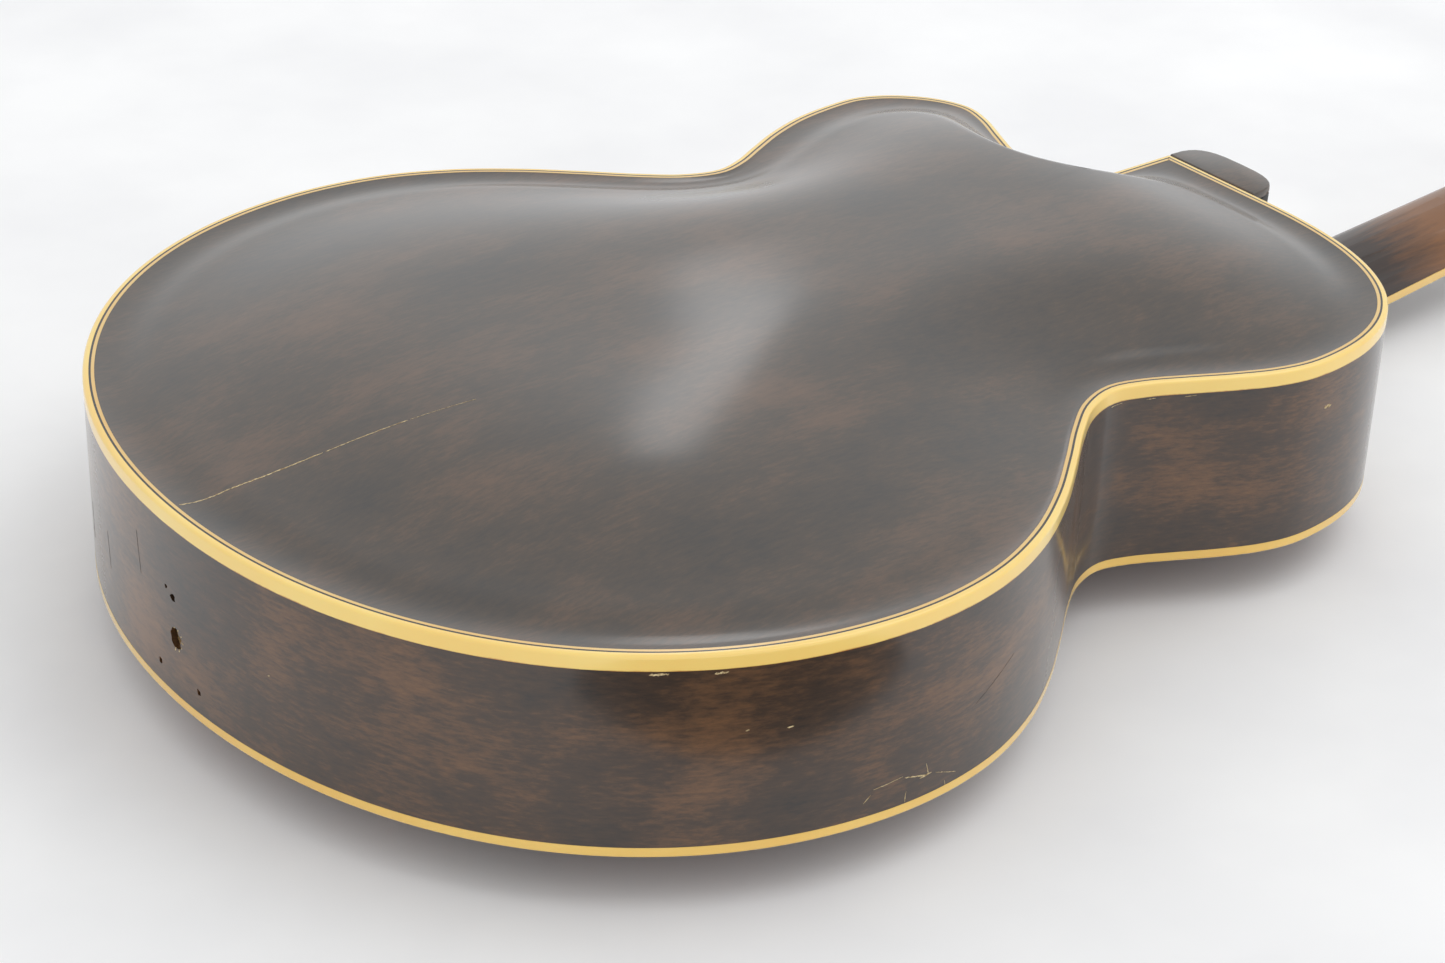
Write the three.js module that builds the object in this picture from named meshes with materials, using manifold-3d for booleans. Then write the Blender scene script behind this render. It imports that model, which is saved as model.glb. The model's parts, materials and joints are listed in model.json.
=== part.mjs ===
// A carved archtop guitar with one rounded cutaway, lying face down with its strings off.
// Millimetres. X runs from the tail to the headstock, Y to the treble side, Z up to the carved back.
// Body coordinates: x = 0 at the tail, y = 0 on the centre line, z = 0 at the rim of the back.
import * as THREE from "three";
import { mergeVertices } from "three/addons/utils/BufferGeometryUtils.js";
import Module from "manifold-3d";

const wasm = await Module();
wasm.setup();

const { degToRad, lerp, clamp } = THREE.MathUtils;

// Gaps, how far a cutting tool reaches past what it cuts, and how far joined pieces lap inside
const GLUE_GAP = 0.3;
const TURNING_GAP = 0.4;
const CLEAR = 60;
const LAP = 5;

// How far each handle of the outline's curves reaches from its point, which sets how full they are.
const REACH = {
  tail: 129,
  lowerToTail: 104,
  lowerToWaist: 93,
  waistToLower: 36,
  waistToUpper: 20,
  upperToWaist: 30,
  upperToShoulder: 90,
  shoulder: 40,
  mouthToScoop: 8,
  scoopToMouth: 12,
  scoopToTip: 24,
  tipToScoop: 17,
  tipToBout: 21,
  hornBoutToTip: 20,
  hornBoutToWaist: 55,
};

// Body outline, seen from the back. Sizes with FROM_NECK are measured from the neck end.
const BODY_LENGTH = 545;
const LOWER_BOUT = 432;
const WAIST = 262;
const UPPER_BOUT = 324;
const LOWER_BOUT_AT = 190;
const WAIST_FROM_NECK = 186;
const UPPER_BOUT_FROM_NECK = 99;
const SHOULDER_HALF = 40;
const CUTAWAY_SIDE = 27;
const CUTAWAY_MOUTH = 45;
const SCOOP_FROM_NECK = 62;
const SCOOP_SIDE = 48;
const HORN_TIP_FROM_NECK = 40;
const HORN_TIP_SIDE = 119;
const HORN_BOUT_FROM_NECK = 85;

// Box and carving
const RIM_DEPTH = 85.7;
const SIDE_THICKNESS = 2.4;
const BACK_BINDING_HEIGHT = 6.2;
const TOP_BINDING_HEIGHT = 4.6;
const BINDING_WIDTH = 2.5;
const BACK_RISE = 22;
const TOP_RISE = 17;
const PLATE_THICKNESS = 5;
const RECURVE_DEPTH = 0.8;
const EDGE_ROLL = 28;
const RIDGE_TAIL = 190;
const RIDGE_FROM_NECK = 125;
const RIDGE_FALL = 0.1;

// Inside the box
const LINING_WIDTH = 6;
const LINING_HEIGHT = 14;
const FLAT_PAST_LINING = 1.5;
const NECK_BLOCK_LENGTH = 55;
const NECK_BLOCK_BASS = 46;
const TAIL_BLOCK_LENGTH = 22;
const TAIL_BLOCK_HALF = 36;
const TONE_BAR_WIDTH = 8;
const TONE_BAR_DEPTH = 15;
const TONE_BAR_FROM = 105;
const TONE_BAR_TO_NECK = 112;
const TONE_BAR_TAIL_SIDE = 44;
const TONE_BAR_NECK_SIDE = 30;

// Holes
const TAIL_HARDWARE_SIDE = -2;
const END_PIN_DEPTH = 55;
const END_PIN_HOLE = 8;
const F_UPPER_EYE = { fromNeck: 222, side: 82, radius: 5.5 };
const F_LOWER_EYE = { fromNeck: 366, side: 112, radius: 7 };
const F_SLOT_HALF = 4.6;
const F_HOOK = 20;
const F_SLOT_END_HALF = 0.8;
const F_EYE_LAP = 1;

// Neck. Its own coordinates start on the glue plane under the fingerboard, where it meets the body.
const NECK_ANGLE = degToRad(5.5);
const SURFACE_UNDER_CROWN = 3.1;
const SCALE = 648;
const FRETS_CLEAR = 14;
const FRET_COUNT = 20;
const NUT_WIDTH = 43;
const BOARD_END_WIDTH = 57;
const BOARD_THICKNESS = 6.5;
const BOARD_RADIUS = 305;
const BOARD_PAST_LAST_FRET = 8;
const BOARD_BINDING = 1.6;
const NUT_LENGTH = 5;
const NUT_HEIGHT = 8.5;
const STRING_COUNT = 6;
const NUT_SLOT_RADIUS = 0.7;
const NUT_SLOT_MARGIN = 4;
const SHAFT_DEPTH_NUT = 15.5;
const SHAFT_DEPTH_HEEL = 19;
const TENON_WIDTH = 24;
const TENON_LENGTH = 38;
const TENON_FLOOR = 12;
const TENON_PAST_RIM = 2.3;
const TONGUE_SHORT_OF_BOARD = 6;
const TONGUE_INSET = 2;
const HEEL_CAP_LENGTH = 20;
const HEEL_CAP_HALF = 27;
const HEEL_CAP_THICKNESS = 4;
const HEEL_REACH = 62;
const HEEL_SPREAD = 8;
const HEEL_UNDER_BOARD = 3;
const HEEL_SWEEP = 2.4;
const HEEL_IN_SHAFT = 1;
const HEEL_CAP_SQUARENESS = 3.2;
const SHAFT_FULLNESS = 0.85;
const FRET_WIDTH = 2.4;
const FRET_HEIGHT = 1;
const FRET_TANG = 0.6;
const FRET_TANG_DEPTH = 1.8;
const FRET_SLOT_CAMBER = 1;
const TRUSS_ROD = 5;
const TRUSS_ROD_DEPTH = 8;
const TRUSS_NUT = 8;
const TRUSS_NUT_LENGTH = 10;
const TRUSS_NUT_PAST_PIVOT = 3;
const TRUSS_ROD_FROM = 4;
const TRUSS_POCKET_ROOM = 2.5;
const TRUSS_WRENCH_ROOM = 12;

// Headstock. Its own coordinates start at the nut, on the face, with z up to its back.
const HEAD_ANGLE = degToRad(15);
const HEAD_THICKNESS = 15;
const VENEER_THICKNESS = 1.8;
const VENEER_BACK_OF_NUT = 0.8;
const HEAD_NUT_HALF = 22;
const HEAD_EAR_AT = 20;
const HEAD_EAR_HALF = 29;
const HEAD_SIDE_HALF = 37.5;
const HEAD_PAST_TUNERS = 7;
const HEAD_CROWN = 26;
const HEAD_CROWN_DIP = 10;
const HEAD_CORNER = 12;
const HEAD_EAR_SWEEP = 4;

// Cover over the end of the truss rod: corners from the nut, along and across the headstock
const COVER_SHAPE = [[5, -11], [30, -9], [38, 0], [30, 9], [5, 11]];
const COVER_HEIGHT = 1.8;

// Tuners, three on a plate
const TUNER_SPACING = 38;
const TUNER_FIRST = 24;
const TUNER_INSET = 12;
const TUNER_PLATE = 1.2;
const TUNER_PLATE_WIDTH = 20;
const TUNER_PLATE_OVERHANG = 14;
const POST_RADIUS = 3;
const POST_OVER_FACE = 14;
const GEAR_RADIUS = 6;
const GEAR_HEIGHT = 5;
const WORM_RADIUS = 2.8;
const WORM_LENGTH = 8;
const KNOB_SHAFT_RADIUS = 1.5;
const KNOB_SHAFT_HEIGHT = 4.5;
const KNOB_STANDOFF = 5;
const KNOB_LAP = 1;
const KNOB_HALF = { along: 8, out: 10, thick: 4 };
const EAR_THICKNESS = 2;
const EAR_HALF = 3.5;
const EAR_OVER_SHAFT = 3;

// ---------------------------------------------------------------- solids

const SAME_POINT = 1e-4;

// A closed geometry as a solid that can be joined and cut.
function toSolid(geometry) {
  const plain = geometry.index ? geometry.toNonIndexed() : geometry.clone();
  plain.deleteAttribute("normal");
  plain.deleteAttribute("uv");
  const merged = mergeVertices(plain, SAME_POINT);
  return new wasm.Manifold(
    new wasm.Mesh({
      numProp: 3,
      vertProperties: merged.attributes.position.array,
      triVerts: new Uint32Array(merged.index.array),
    }),
  );
}

function toGeometry(solid) {
  const { vertProperties, triVerts } = solid.getMesh();
  const geometry = new THREE.BufferGeometry();
  geometry.setAttribute("position", new THREE.BufferAttribute(vertProperties, 3));
  geometry.setIndex(new THREE.BufferAttribute(triVerts, 1));
  geometry.computeVertexNormals();
  return geometry;
}

function union(...geometries) {
  return toGeometry(geometries.map(toSolid).reduce((a, b) => a.add(b)));
}

function cut(geometry, ...tools) {
  return toGeometry(tools.map(toSolid).reduce((a, b) => a.subtract(b), toSolid(geometry)));
}

function common(a, b) {
  return toGeometry(toSolid(a).intersect(toSolid(b)));
}

function box(x0, x1, y0, y1, z0, z1) {
  const geometry = new THREE.BoxGeometry(x1 - x0, y1 - y0, z1 - z0);
  return geometry.translate((x0 + x1) / 2, (y0 + y1) / 2, (z0 + z1) / 2);
}

function rod(axis, radius, length, sides = 12) {
  const geometry = new THREE.CylinderGeometry(radius, radius, length, sides);
  if (axis === "x") geometry.rotateZ(Math.PI / 2);
  if (axis === "z") geometry.rotateX(Math.PI / 2);
  return geometry;
}

function slab(points, z0, z1) {
  const shape = new THREE.Shape(points);
  const geometry = new THREE.ExtrudeGeometry(shape, { depth: z1 - z0, bevelEnabled: false });
  return geometry.translate(0, 0, z0);
}

// Skins a row of rings that have equal counts of points. Each ring runs anticlockwise round the way the
// row goes. The end rings are closed flat, in the named plane, unless the last ring meets the first.
function loft(rings, plane = "xy", meets = false) {
  const count = rings[0].length;
  const corners = rings.flat();
  const faces = [];
  const last = meets ? rings.length : rings.length - 1;
  for (let k = 0; k < last; k++) {
    const low = k * count;
    const high = ((k + 1) % rings.length) * count;
    for (let i = 0; i < count; i++) {
      const j = (i + 1) % count;
      faces.push([low + i, low + j, high + j], [low + i, high + j, high + i]);
    }
  }
  if (!meets) {
    const flat = (p) => new THREE.Vector2(p[plane[0]], p[plane[1]]);
    const end = (rings.length - 1) * count;
    for (const [a, b, c] of THREE.ShapeUtils.triangulateShape(rings[0].map(flat), []))
      faces.push([a, c, b]);
    for (const [a, b, c] of THREE.ShapeUtils.triangulateShape(rings.at(-1).map(flat), []))
      faces.push([end + a, end + b, end + c]);
  }
  const geometry = new THREE.BufferGeometry().setFromPoints(corners);
  geometry.setIndex(faces.flat());
  return geometry;
}

// ---------------------------------------------------------------- body outline

const ARC_STEP = degToRad(12);

// The angle that a curve turns through, which sets how finely it is cut.
function turning(curve) {
  const samples = 24;
  let angle = 0;
  let before = curve.getTangent(0);
  for (let i = 1; i <= samples; i++) {
    const next = curve.getTangent(i / samples);
    angle += Math.acos(clamp(before.dot(next), -1, 1));
    before = next;
  }
  return angle;
}

// Chains cubic stretches, each given by two handles and an end, or straight ones given by an end.
function chain(start, stretches) {
  const points = [];
  let from = new THREE.Vector2(...start);
  for (const stretch of stretches) {
    const [h1, h2, to] = stretch.map((p) => new THREE.Vector2(...p));
    if (!to) {
      points.push(from);
      from = h1;
      continue;
    }
    const curve = new THREE.CubicBezierCurve(from, h1, h2, to);
    const steps = Math.max(2, Math.ceil(turning(curve) / ARC_STEP));
    points.push(...curve.getPoints(steps).slice(0, -1));
    from = to;
  }
  return points;
}

const lowerHalf = LOWER_BOUT / 2;
const waistHalf = WAIST / 2;
const upperHalf = UPPER_BOUT / 2;
const waistAt = BODY_LENGTH - WAIST_FROM_NECK;
const upperAt = BODY_LENGTH - UPPER_BOUT_FROM_NECK;
const hornBoutAt = BODY_LENGTH - HORN_BOUT_FROM_NECK;
const hornAt = BODY_LENGTH - HORN_TIP_FROM_NECK;
const scoopAt = BODY_LENGTH - SCOOP_FROM_NECK;
const mouthAt = BODY_LENGTH - CUTAWAY_MOUTH;

// Anticlockwise from the tail: bass side, neck end, cutaway, treble side.
const OUTLINE = chain(
  [0, 0],
  [
    [[0, -REACH.tail], [LOWER_BOUT_AT - REACH.lowerToTail, -lowerHalf], [LOWER_BOUT_AT, -lowerHalf]],
    [
      [LOWER_BOUT_AT + REACH.lowerToWaist, -lowerHalf],
      [waistAt - REACH.waistToLower, -waistHalf],
      [waistAt, -waistHalf],
    ],
    [
      [waistAt + REACH.waistToUpper, -waistHalf],
      [upperAt - REACH.upperToWaist, -upperHalf],
      [upperAt, -upperHalf],
    ],
    [
      [upperAt + REACH.upperToShoulder, -upperHalf],
      [BODY_LENGTH, -SHOULDER_HALF - REACH.shoulder],
      [BODY_LENGTH, -SHOULDER_HALF],
    ],
    [[BODY_LENGTH, CUTAWAY_SIDE]],
    [[mouthAt, CUTAWAY_SIDE]],
    [
      [scoopAt + REACH.mouthToScoop, CUTAWAY_SIDE],
      [scoopAt, SCOOP_SIDE - REACH.scoopToMouth],
      [scoopAt, SCOOP_SIDE],
    ],
    [
      [scoopAt, SCOOP_SIDE + REACH.scoopToTip],
      [hornAt, HORN_TIP_SIDE - REACH.tipToScoop],
      [hornAt, HORN_TIP_SIDE],
    ],
    [
      [hornAt, HORN_TIP_SIDE + REACH.tipToBout],
      [hornBoutAt + REACH.hornBoutToTip, upperHalf],
      [hornBoutAt, upperHalf],
    ],
    [
      [hornBoutAt - REACH.hornBoutToWaist, upperHalf],
      [waistAt + REACH.waistToUpper, waistHalf],
      [waistAt, waistHalf],
    ],
    [
      [waistAt - REACH.waistToLower, waistHalf],
      [LOWER_BOUT_AT + REACH.lowerToWaist, lowerHalf],
      [LOWER_BOUT_AT, lowerHalf],
    ],
    [[LOWER_BOUT_AT - REACH.lowerToTail, lowerHalf], [0, REACH.tail], [0, 0]],
  ],
);

// The outline moved inwards, each corner along the mitre of its two edges.
function inset(distance) {
  return OUTLINE.map((point, i) => {
    const before = OUTLINE.at(i - 1);
    const after = OUTLINE[(i + 1) % OUTLINE.length];
    const way1 = point.clone().sub(before).normalize();
    const way2 = after.clone().sub(point).normalize();
    const mitre = new THREE.Vector2(-way1.y - way2.y, way1.x + way2.x);
    return mitre.multiplyScalar(distance / (1 + way1.dot(way2))).add(point);
  });
}

function flatRing(distance, z) {
  return inset(distance).map((p) => new THREE.Vector3(p.x, p.y, z));
}

// A band that runs round the outline, outside and inside faces at the given insets.
function band(outer, inner, z0, z1) {
  const section = [
    [outer, z0],
    [outer, z1],
    [inner, z1],
    [inner, z0],
  ];
  return loft(
    section.map(([distance, z]) => flatRing(distance, z)),
    "xy",
    true,
  );
}

// ---------------------------------------------------------------- carved plates

const ridgeTo = BODY_LENGTH - RIDGE_FROM_NECK;
const plateInset = BINDING_WIDTH + GLUE_GAP;
const gluedInset = SIDE_THICKNESS + LINING_WIDTH + 2 * GLUE_GAP + FLAT_PAST_LINING;
const ARCH_STEPS = [0.07, 0.15, 0.27, 0.42, 0.6, 0.8, 0.96];
const HOLLOW_STEPS = [0.12, 0.32, 0.56, 0.8, 0.96];

// The outline that the body would have without its cutaway: the bass half and its mirror image.
const bassHalf = OUTLINE.filter((p) => p.y < 0);
const UNCUT = [
  OUTLINE[0],
  ...bassHalf,
  ...bassHalf.map((p) => new THREE.Vector2(p.x, -p.y)).reverse(),
];

// A smooth distance to an outline: true beside a long straight edge, less where edges face each other.
function edgeDistance(outline, x, y) {
  let pull = 0;
  outline.forEach((a, i) => {
    const b = outline[(i + 1) % outline.length];
    const length = a.distanceTo(b);
    const wayX = (b.x - a.x) / length;
    const wayY = (b.y - a.y) / length;
    const from = (a.x - x) * wayX + (a.y - y) * wayY;
    const to = from + length;
    const off = Math.max(1e-3, Math.abs((a.x - x) * wayY - (a.y - y) * wayX));
    pull += (to / Math.hypot(off, to) - from / Math.hypot(off, from)) / off ** 2;
  });
  return Math.sqrt(2 / pull);
}

const swell = (share) => (1 - Math.cos(Math.PI * Math.min(1, share))) / 2;

// The arch rises over the whole uncut outline and rolls down to the rim all round the real one.
function archHeight(x, y, rise) {
  const along = clamp(x, RIDGE_TAIL, ridgeTo);
  const ridgeMiddle = (RIDGE_TAIL + ridgeTo) / 2;
  const way = (along - ridgeMiddle) / (ridgeTo - ridgeMiddle);
  const ridge = rise * (1 - RIDGE_FALL * way ** 2);
  const share = edgeDistance(UNCUT, x, y) / edgeDistance(UNCUT, along, 0);
  const edge = Math.min(1, edgeDistance(OUTLINE, x, y) / EDGE_ROLL);
  return ridge * swell(share) * swell(edge) - RECURVE_DEPTH * Math.sin(Math.PI * edge);
}

function archRing(t, distance, rise, lift, floor = -Infinity) {
  return inset(distance).map((p) => {
    const x = lerp(p.x, clamp(p.x, RIDGE_TAIL, ridgeTo), t);
    const y = lerp(p.y, 0, t);
    return new THREE.Vector3(x, y, Math.max(floor, archHeight(x, y, rise) + lift));
  });
}

function plateRings(rise, edge) {
  const hollow = HOLLOW_STEPS.map((t) => archRing(t, gluedInset, rise, -PLATE_THICKNESS, -edge));
  const arch = ARCH_STEPS.map((t) => archRing(t, plateInset, rise, 0));
  return [
    ...hollow.reverse(),
    flatRing(gluedInset, -edge),
    flatRing(plateInset, -edge),
    flatRing(plateInset, 0),
    ...arch,
  ];
}

// The same rings for the top, which is the back turned over at the depth of the rim.
function turnedOver(rings) {
  return rings.map((ring) => ring.map((p) => new THREE.Vector3(p.x, p.y, -RIM_DEPTH - p.z))).reverse();
}

// All that lies inside the outer face of the top, grown by the glue gap.
function topEnvelope() {
  const arch = ARCH_STEPS.map((t) => archRing(t, plateInset, TOP_RISE, GLUE_GAP));
  const under = flatRing(plateInset, -2 * PLATE_THICKNESS);
  return loft(turnedOver([under, flatRing(plateInset, GLUE_GAP), ...arch]));
}

// All that lies under the inner face of the top, less the glue gap.
function topHollow() {
  const lift = -PLATE_THICKNESS - GLUE_GAP;
  const edge = -TOP_BINDING_HEIGHT - GLUE_GAP;
  const hollow = HOLLOW_STEPS.map((t) => archRing(t, gluedInset, TOP_RISE, lift, edge));
  const start = flatRing(gluedInset, edge);
  return loft(turnedOver([flatRing(gluedInset, -RIM_DEPTH / 2), start, ...hollow]));
}

// A tapered slot between two round eyes, cut right through the top.
function fHole(side) {
  const upper = new THREE.Vector2(BODY_LENGTH - F_UPPER_EYE.fromNeck, side * F_UPPER_EYE.side);
  const lower = new THREE.Vector2(BODY_LENGTH - F_LOWER_EYE.fromNeck, side * F_LOWER_EYE.side);
  const from = upper.clone().add(new THREE.Vector2(F_UPPER_EYE.radius - F_EYE_LAP, 0));
  const to = lower.clone().add(new THREE.Vector2(F_EYE_LAP - F_LOWER_EYE.radius, 0));
  const middle = new THREE.CubicBezierCurve(
    from,
    from.clone().add(new THREE.Vector2(F_HOOK, side * F_HOOK)),
    to.clone().add(new THREE.Vector2(-F_HOOK, -side * F_HOOK)),
    to,
  );
  const steps = 14;
  const edges = [-1, 1].map((way) =>
    Array.from({ length: steps + 1 }, (_, i) => {
      const t = i / steps;
      const along = middle.getTangent(t);
      const half = lerp(F_SLOT_END_HALF, F_SLOT_HALF, Math.sin(Math.PI * t));
      return middle.getPoint(t).add(new THREE.Vector2(-along.y, along.x).multiplyScalar(way * half));
    }),
  );
  const low = -RIM_DEPTH - TOP_RISE - 2 * PLATE_THICKNESS;
  const high = -RIM_DEPTH + 2 * PLATE_THICKNESS;
  const slot = slab([...edges[0], ...edges[1].reverse()], low, high);
  const eyes = [
    [upper, F_UPPER_EYE.radius],
    [lower, F_LOWER_EYE.radius],
  ].map(([eye, radius]) =>
    rod("z", radius, high - low).translate(eye.x, eye.y, (low + high) / 2),
  );
  return union(slot, ...eyes);
}

// ---------------------------------------------------------------- neck frame

const nutToFret = (number) => SCALE * (1 - 2 ** (-number / 12));
const toNut = nutToFret(FRETS_CLEAR);
const fretPlace = (number) => toNut - nutToFret(number);
const boardEnd = fretPlace(FRET_COUNT) - BOARD_PAST_LAST_FRET;
const surfaceAt = -RIM_DEPTH - TOP_RISE + SURFACE_UNDER_CROWN;
const pivotX = toNut + NUT_LENGTH;

// Everything on the neck hangs from this group, and everything on the headstock from the next.
const neckGroup = new THREE.Group();
neckGroup.position.set(BODY_LENGTH, 0, surfaceAt + BOARD_THICKNESS);
neckGroup.rotation.y = -NECK_ANGLE;

const headGroup = new THREE.Group();
headGroup.position.set(pivotX, 0, 0);
headGroup.rotation.y = -HEAD_ANGLE;
neckGroup.add(headGroup);
neckGroup.updateMatrixWorld(true);

const inNeck = (geometry) => geometry.applyMatrix4(neckGroup.matrixWorld);
const inHead = (geometry) => geometry.applyMatrix4(headGroup.matrixWorld);

function boardHalf(x) {
  return lerp(BOARD_END_WIDTH, NUT_WIDTH, (x - boardEnd) / (toNut - boardEnd)) / 2;
}

// How far the rounded playing surface falls away at a distance from the centre.
function camber(y) {
  return BOARD_RADIUS - Math.sqrt(BOARD_RADIUS ** 2 - y ** 2);
}

const CAMBER_STEPS = [-1, -0.5, 0, 0.5, 1];

// ---------------------------------------------------------------- neck pieces

function shaftRing(x, half, depth) {
  const steps = 10;
  return Array.from({ length: steps + 1 }, (_, i) => {
    const angle = (Math.PI * i) / steps;
    return new THREE.Vector3(x, half * Math.cos(angle), depth * Math.sin(angle) ** SHAFT_FULLNESS);
  });
}

function shaft() {
  const stations = [0, toNut / 2, toNut, pivotX];
  const rings = stations.map((x) => {
    const depth = lerp(SHAFT_DEPTH_HEEL, SHAFT_DEPTH_NUT, clamp(x / toNut, 0, 1));
    return shaftRing(x, boardHalf(x), depth);
  });
  return inNeck(loft(rings, "yz"));
}

// Rounded oblong sections stacked from the fingerboard up to the cap, in body coordinates.
function heelRing(z, reach, half, roundness) {
  const root = BODY_LENGTH + GLUE_GAP;
  const steps = 16;
  return Array.from({ length: steps + 1 }, (_, i) => {
    const angle = (Math.PI * i) / steps - Math.PI / 2;
    const bulge = (value) => Math.sign(value) * Math.abs(value) ** (2 / roundness);
    const x = root + reach * bulge(Math.max(0, Math.cos(angle)));
    return new THREE.Vector3(x, half * bulge(Math.sin(angle)), z);
  });
}

function heel() {
  const top = -HEEL_CAP_THICKNESS - GLUE_GAP;
  const bottom = surfaceAt + BOARD_THICKNESS;
  const back = bottom + SHAFT_DEPTH_HEEL + HEEL_SPREAD;
  const rootHalf = boardHalf(0) - HEEL_IN_SHAFT;
  const round = 2;
  const rings = [heelRing(bottom - HEEL_UNDER_BOARD, HEEL_REACH / 2, rootHalf, round)];
  const steps = 8;
  for (let i = 0; i <= steps; i++) {
    const s = i / steps;
    const z = lerp(back, top, s);
    const reach = HEEL_CAP_LENGTH + HEEL_REACH * (1 - s) ** HEEL_SWEEP;
    const half = lerp(rootHalf - HEEL_IN_SHAFT / 2, HEEL_CAP_HALF, s ** 2);
    rings.push(heelRing(z, reach, half, lerp(round, HEEL_CAP_SQUARENESS, s)));
  }
  return loft(rings);
}

const wormOffset = GEAR_RADIUS + WORM_RADIUS + TURNING_GAP;
const tunerPlaces = [0, 1, 2].map((i) => TUNER_FIRST + i * TUNER_SPACING);
const tunerPlateTo = tunerPlaces.at(-1) + wormOffset + TUNER_PLATE_OVERHANG;
const headSideTo = HEAD_EAR_AT + tunerPlateTo + HEAD_PAST_TUNERS;
const headLength = headSideTo + HEAD_CROWN;

function headOutline() {
  const shape = new THREE.Shape();
  const shoulder = headLength - HEAD_CROWN_DIP;
  shape.moveTo(0, -HEAD_NUT_HALF);
  shape.quadraticCurveTo(HEAD_EAR_AT - HEAD_EAR_SWEEP, -HEAD_NUT_HALF, HEAD_EAR_AT, -HEAD_EAR_HALF);
  shape.lineTo(headSideTo, -HEAD_SIDE_HALF);
  shape.quadraticCurveTo(shoulder, -HEAD_SIDE_HALF, shoulder, -HEAD_SIDE_HALF + HEAD_CORNER);
  shape.quadraticCurveTo(headLength, -HEAD_SIDE_HALF / 3, headLength, 0);
  shape.quadraticCurveTo(headLength, HEAD_SIDE_HALF / 3, shoulder, HEAD_SIDE_HALF - HEAD_CORNER);
  shape.quadraticCurveTo(shoulder, HEAD_SIDE_HALF, headSideTo, HEAD_SIDE_HALF);
  shape.lineTo(HEAD_EAR_AT, HEAD_EAR_HALF);
  shape.quadraticCurveTo(HEAD_EAR_AT - HEAD_EAR_SWEEP, HEAD_NUT_HALF, 0, HEAD_NUT_HALF);
  return shape.getPoints(5);
}

// A row of tuners runs along each straight side of the headstock.
const sideAngle = Math.atan2(HEAD_SIDE_HALF - HEAD_EAR_HALF, headSideTo - HEAD_EAR_AT);
const tunerRows = [-1, 1].map((side) => {
  const row = new THREE.Group();
  row.position.set(HEAD_EAR_AT, side * HEAD_EAR_HALF, HEAD_THICKNESS + GLUE_GAP);
  row.rotation.z = side * sideAngle;
  headGroup.add(row);
  row.updateMatrixWorld(true);
  return { side, row };
});

function postHoles() {
  return tunerRows.flatMap(({ side, row }) =>
    tunerPlaces.map((x) =>
      rod("z", POST_RADIUS + TURNING_GAP, 3 * HEAD_THICKNESS)
        .translate(x, -side * TUNER_INSET, 0)
        .applyMatrix4(row.matrixWorld),
    ),
  );
}

const trussNutFrom = pivotX + TRUSS_NUT_PAST_PIVOT;
const trussNutTo = trussNutFrom + TRUSS_NUT_LENGTH;
const pocketHalf = TRUSS_NUT / 2 + TRUSS_POCKET_ROOM;

function trussChannel() {
  const half = TRUSS_ROD / 2 + TURNING_GAP;
  return inNeck(box(TRUSS_ROD_FROM / 2, pivotX + 1, -half, half, -1, TRUSS_ROD_DEPTH + half));
}

function trussPocket() {
  const depth = TRUSS_ROD_DEPTH + pocketHalf;
  const to = trussNutTo + TRUSS_WRENCH_ROOM;
  return inNeck(box(pivotX + GLUE_GAP, to, -pocketHalf, pocketHalf, -CLEAR, depth));
}

const tenonEnd = BODY_LENGTH - TENON_LENGTH;

function tenon(gap) {
  const half = TENON_WIDTH / 2 + gap;
  const front = -RIM_DEPTH - TENON_PAST_RIM;
  return box(tenonEnd - gap, BODY_LENGTH + LAP, -half, half, front, -TENON_FLOOR + gap);
}

function neck() {
  const half = boardHalf(0) - TONGUE_INSET;
  const underBoard = box(boardEnd + TONGUE_SHORT_OF_BOARD, LAP, -half, half, 0, CLEAR);
  const frontOfTop = box(0, BODY_LENGTH + LAP, -half, half, -2 * RIM_DEPTH, -RIM_DEPTH - GLUE_GAP);
  const tongue = cut(common(inNeck(underBoard), frontOfTop), topEnvelope());
  const head = inHead(slab(headOutline(), VENEER_THICKNESS + GLUE_GAP, HEAD_THICKNESS));
  const body = box(0, BODY_LENGTH + GLUE_GAP, -CLEAR, CLEAR, -RIM_DEPTH - GLUE_GAP, CLEAR);
  const whole = union(cut(union(shaft(), heel(), head), body), tongue, tenon(0));
  const board = inNeck(box(boardEnd - CLEAR, toNut + NUT_LENGTH, -CLEAR, CLEAR, -CLEAR, 0));
  return cut(whole, board, trussChannel(), trussPocket(), ...postHoles());
}

// Half widths at the two ends, less a margin at each side.
function boardRing(x, margin, z0) {
  const half = boardHalf(x) - margin;
  const surface = CAMBER_STEPS.map((s) => {
    const y = s * half;
    return new THREE.Vector3(x, y, -BOARD_THICKNESS + camber(y));
  });
  return [new THREE.Vector3(x, half, z0), new THREE.Vector3(x, -half, z0), ...surface];
}

function fingerboard() {
  const margin = BOARD_BINDING + GLUE_GAP;
  const ends = [boardEnd + margin, toNut - GLUE_GAP];
  const blank = loft(
    ends.map((x) => boardRing(x, margin, -GLUE_GAP)),
    "yz",
  );
  const slotHalf = FRET_TANG / 2 + GLUE_GAP;
  const slots = Array.from({ length: FRET_COUNT }, (_, i) => {
    const x = fretPlace(i + 1);
    const floor = -BOARD_THICKNESS + FRET_TANG_DEPTH + GLUE_GAP;
    return box(x - slotHalf, x + slotHalf, -CLEAR, CLEAR, -CLEAR, floor + FRET_SLOT_CAMBER);
  });
  return cut(blank, ...slots);
}

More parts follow.
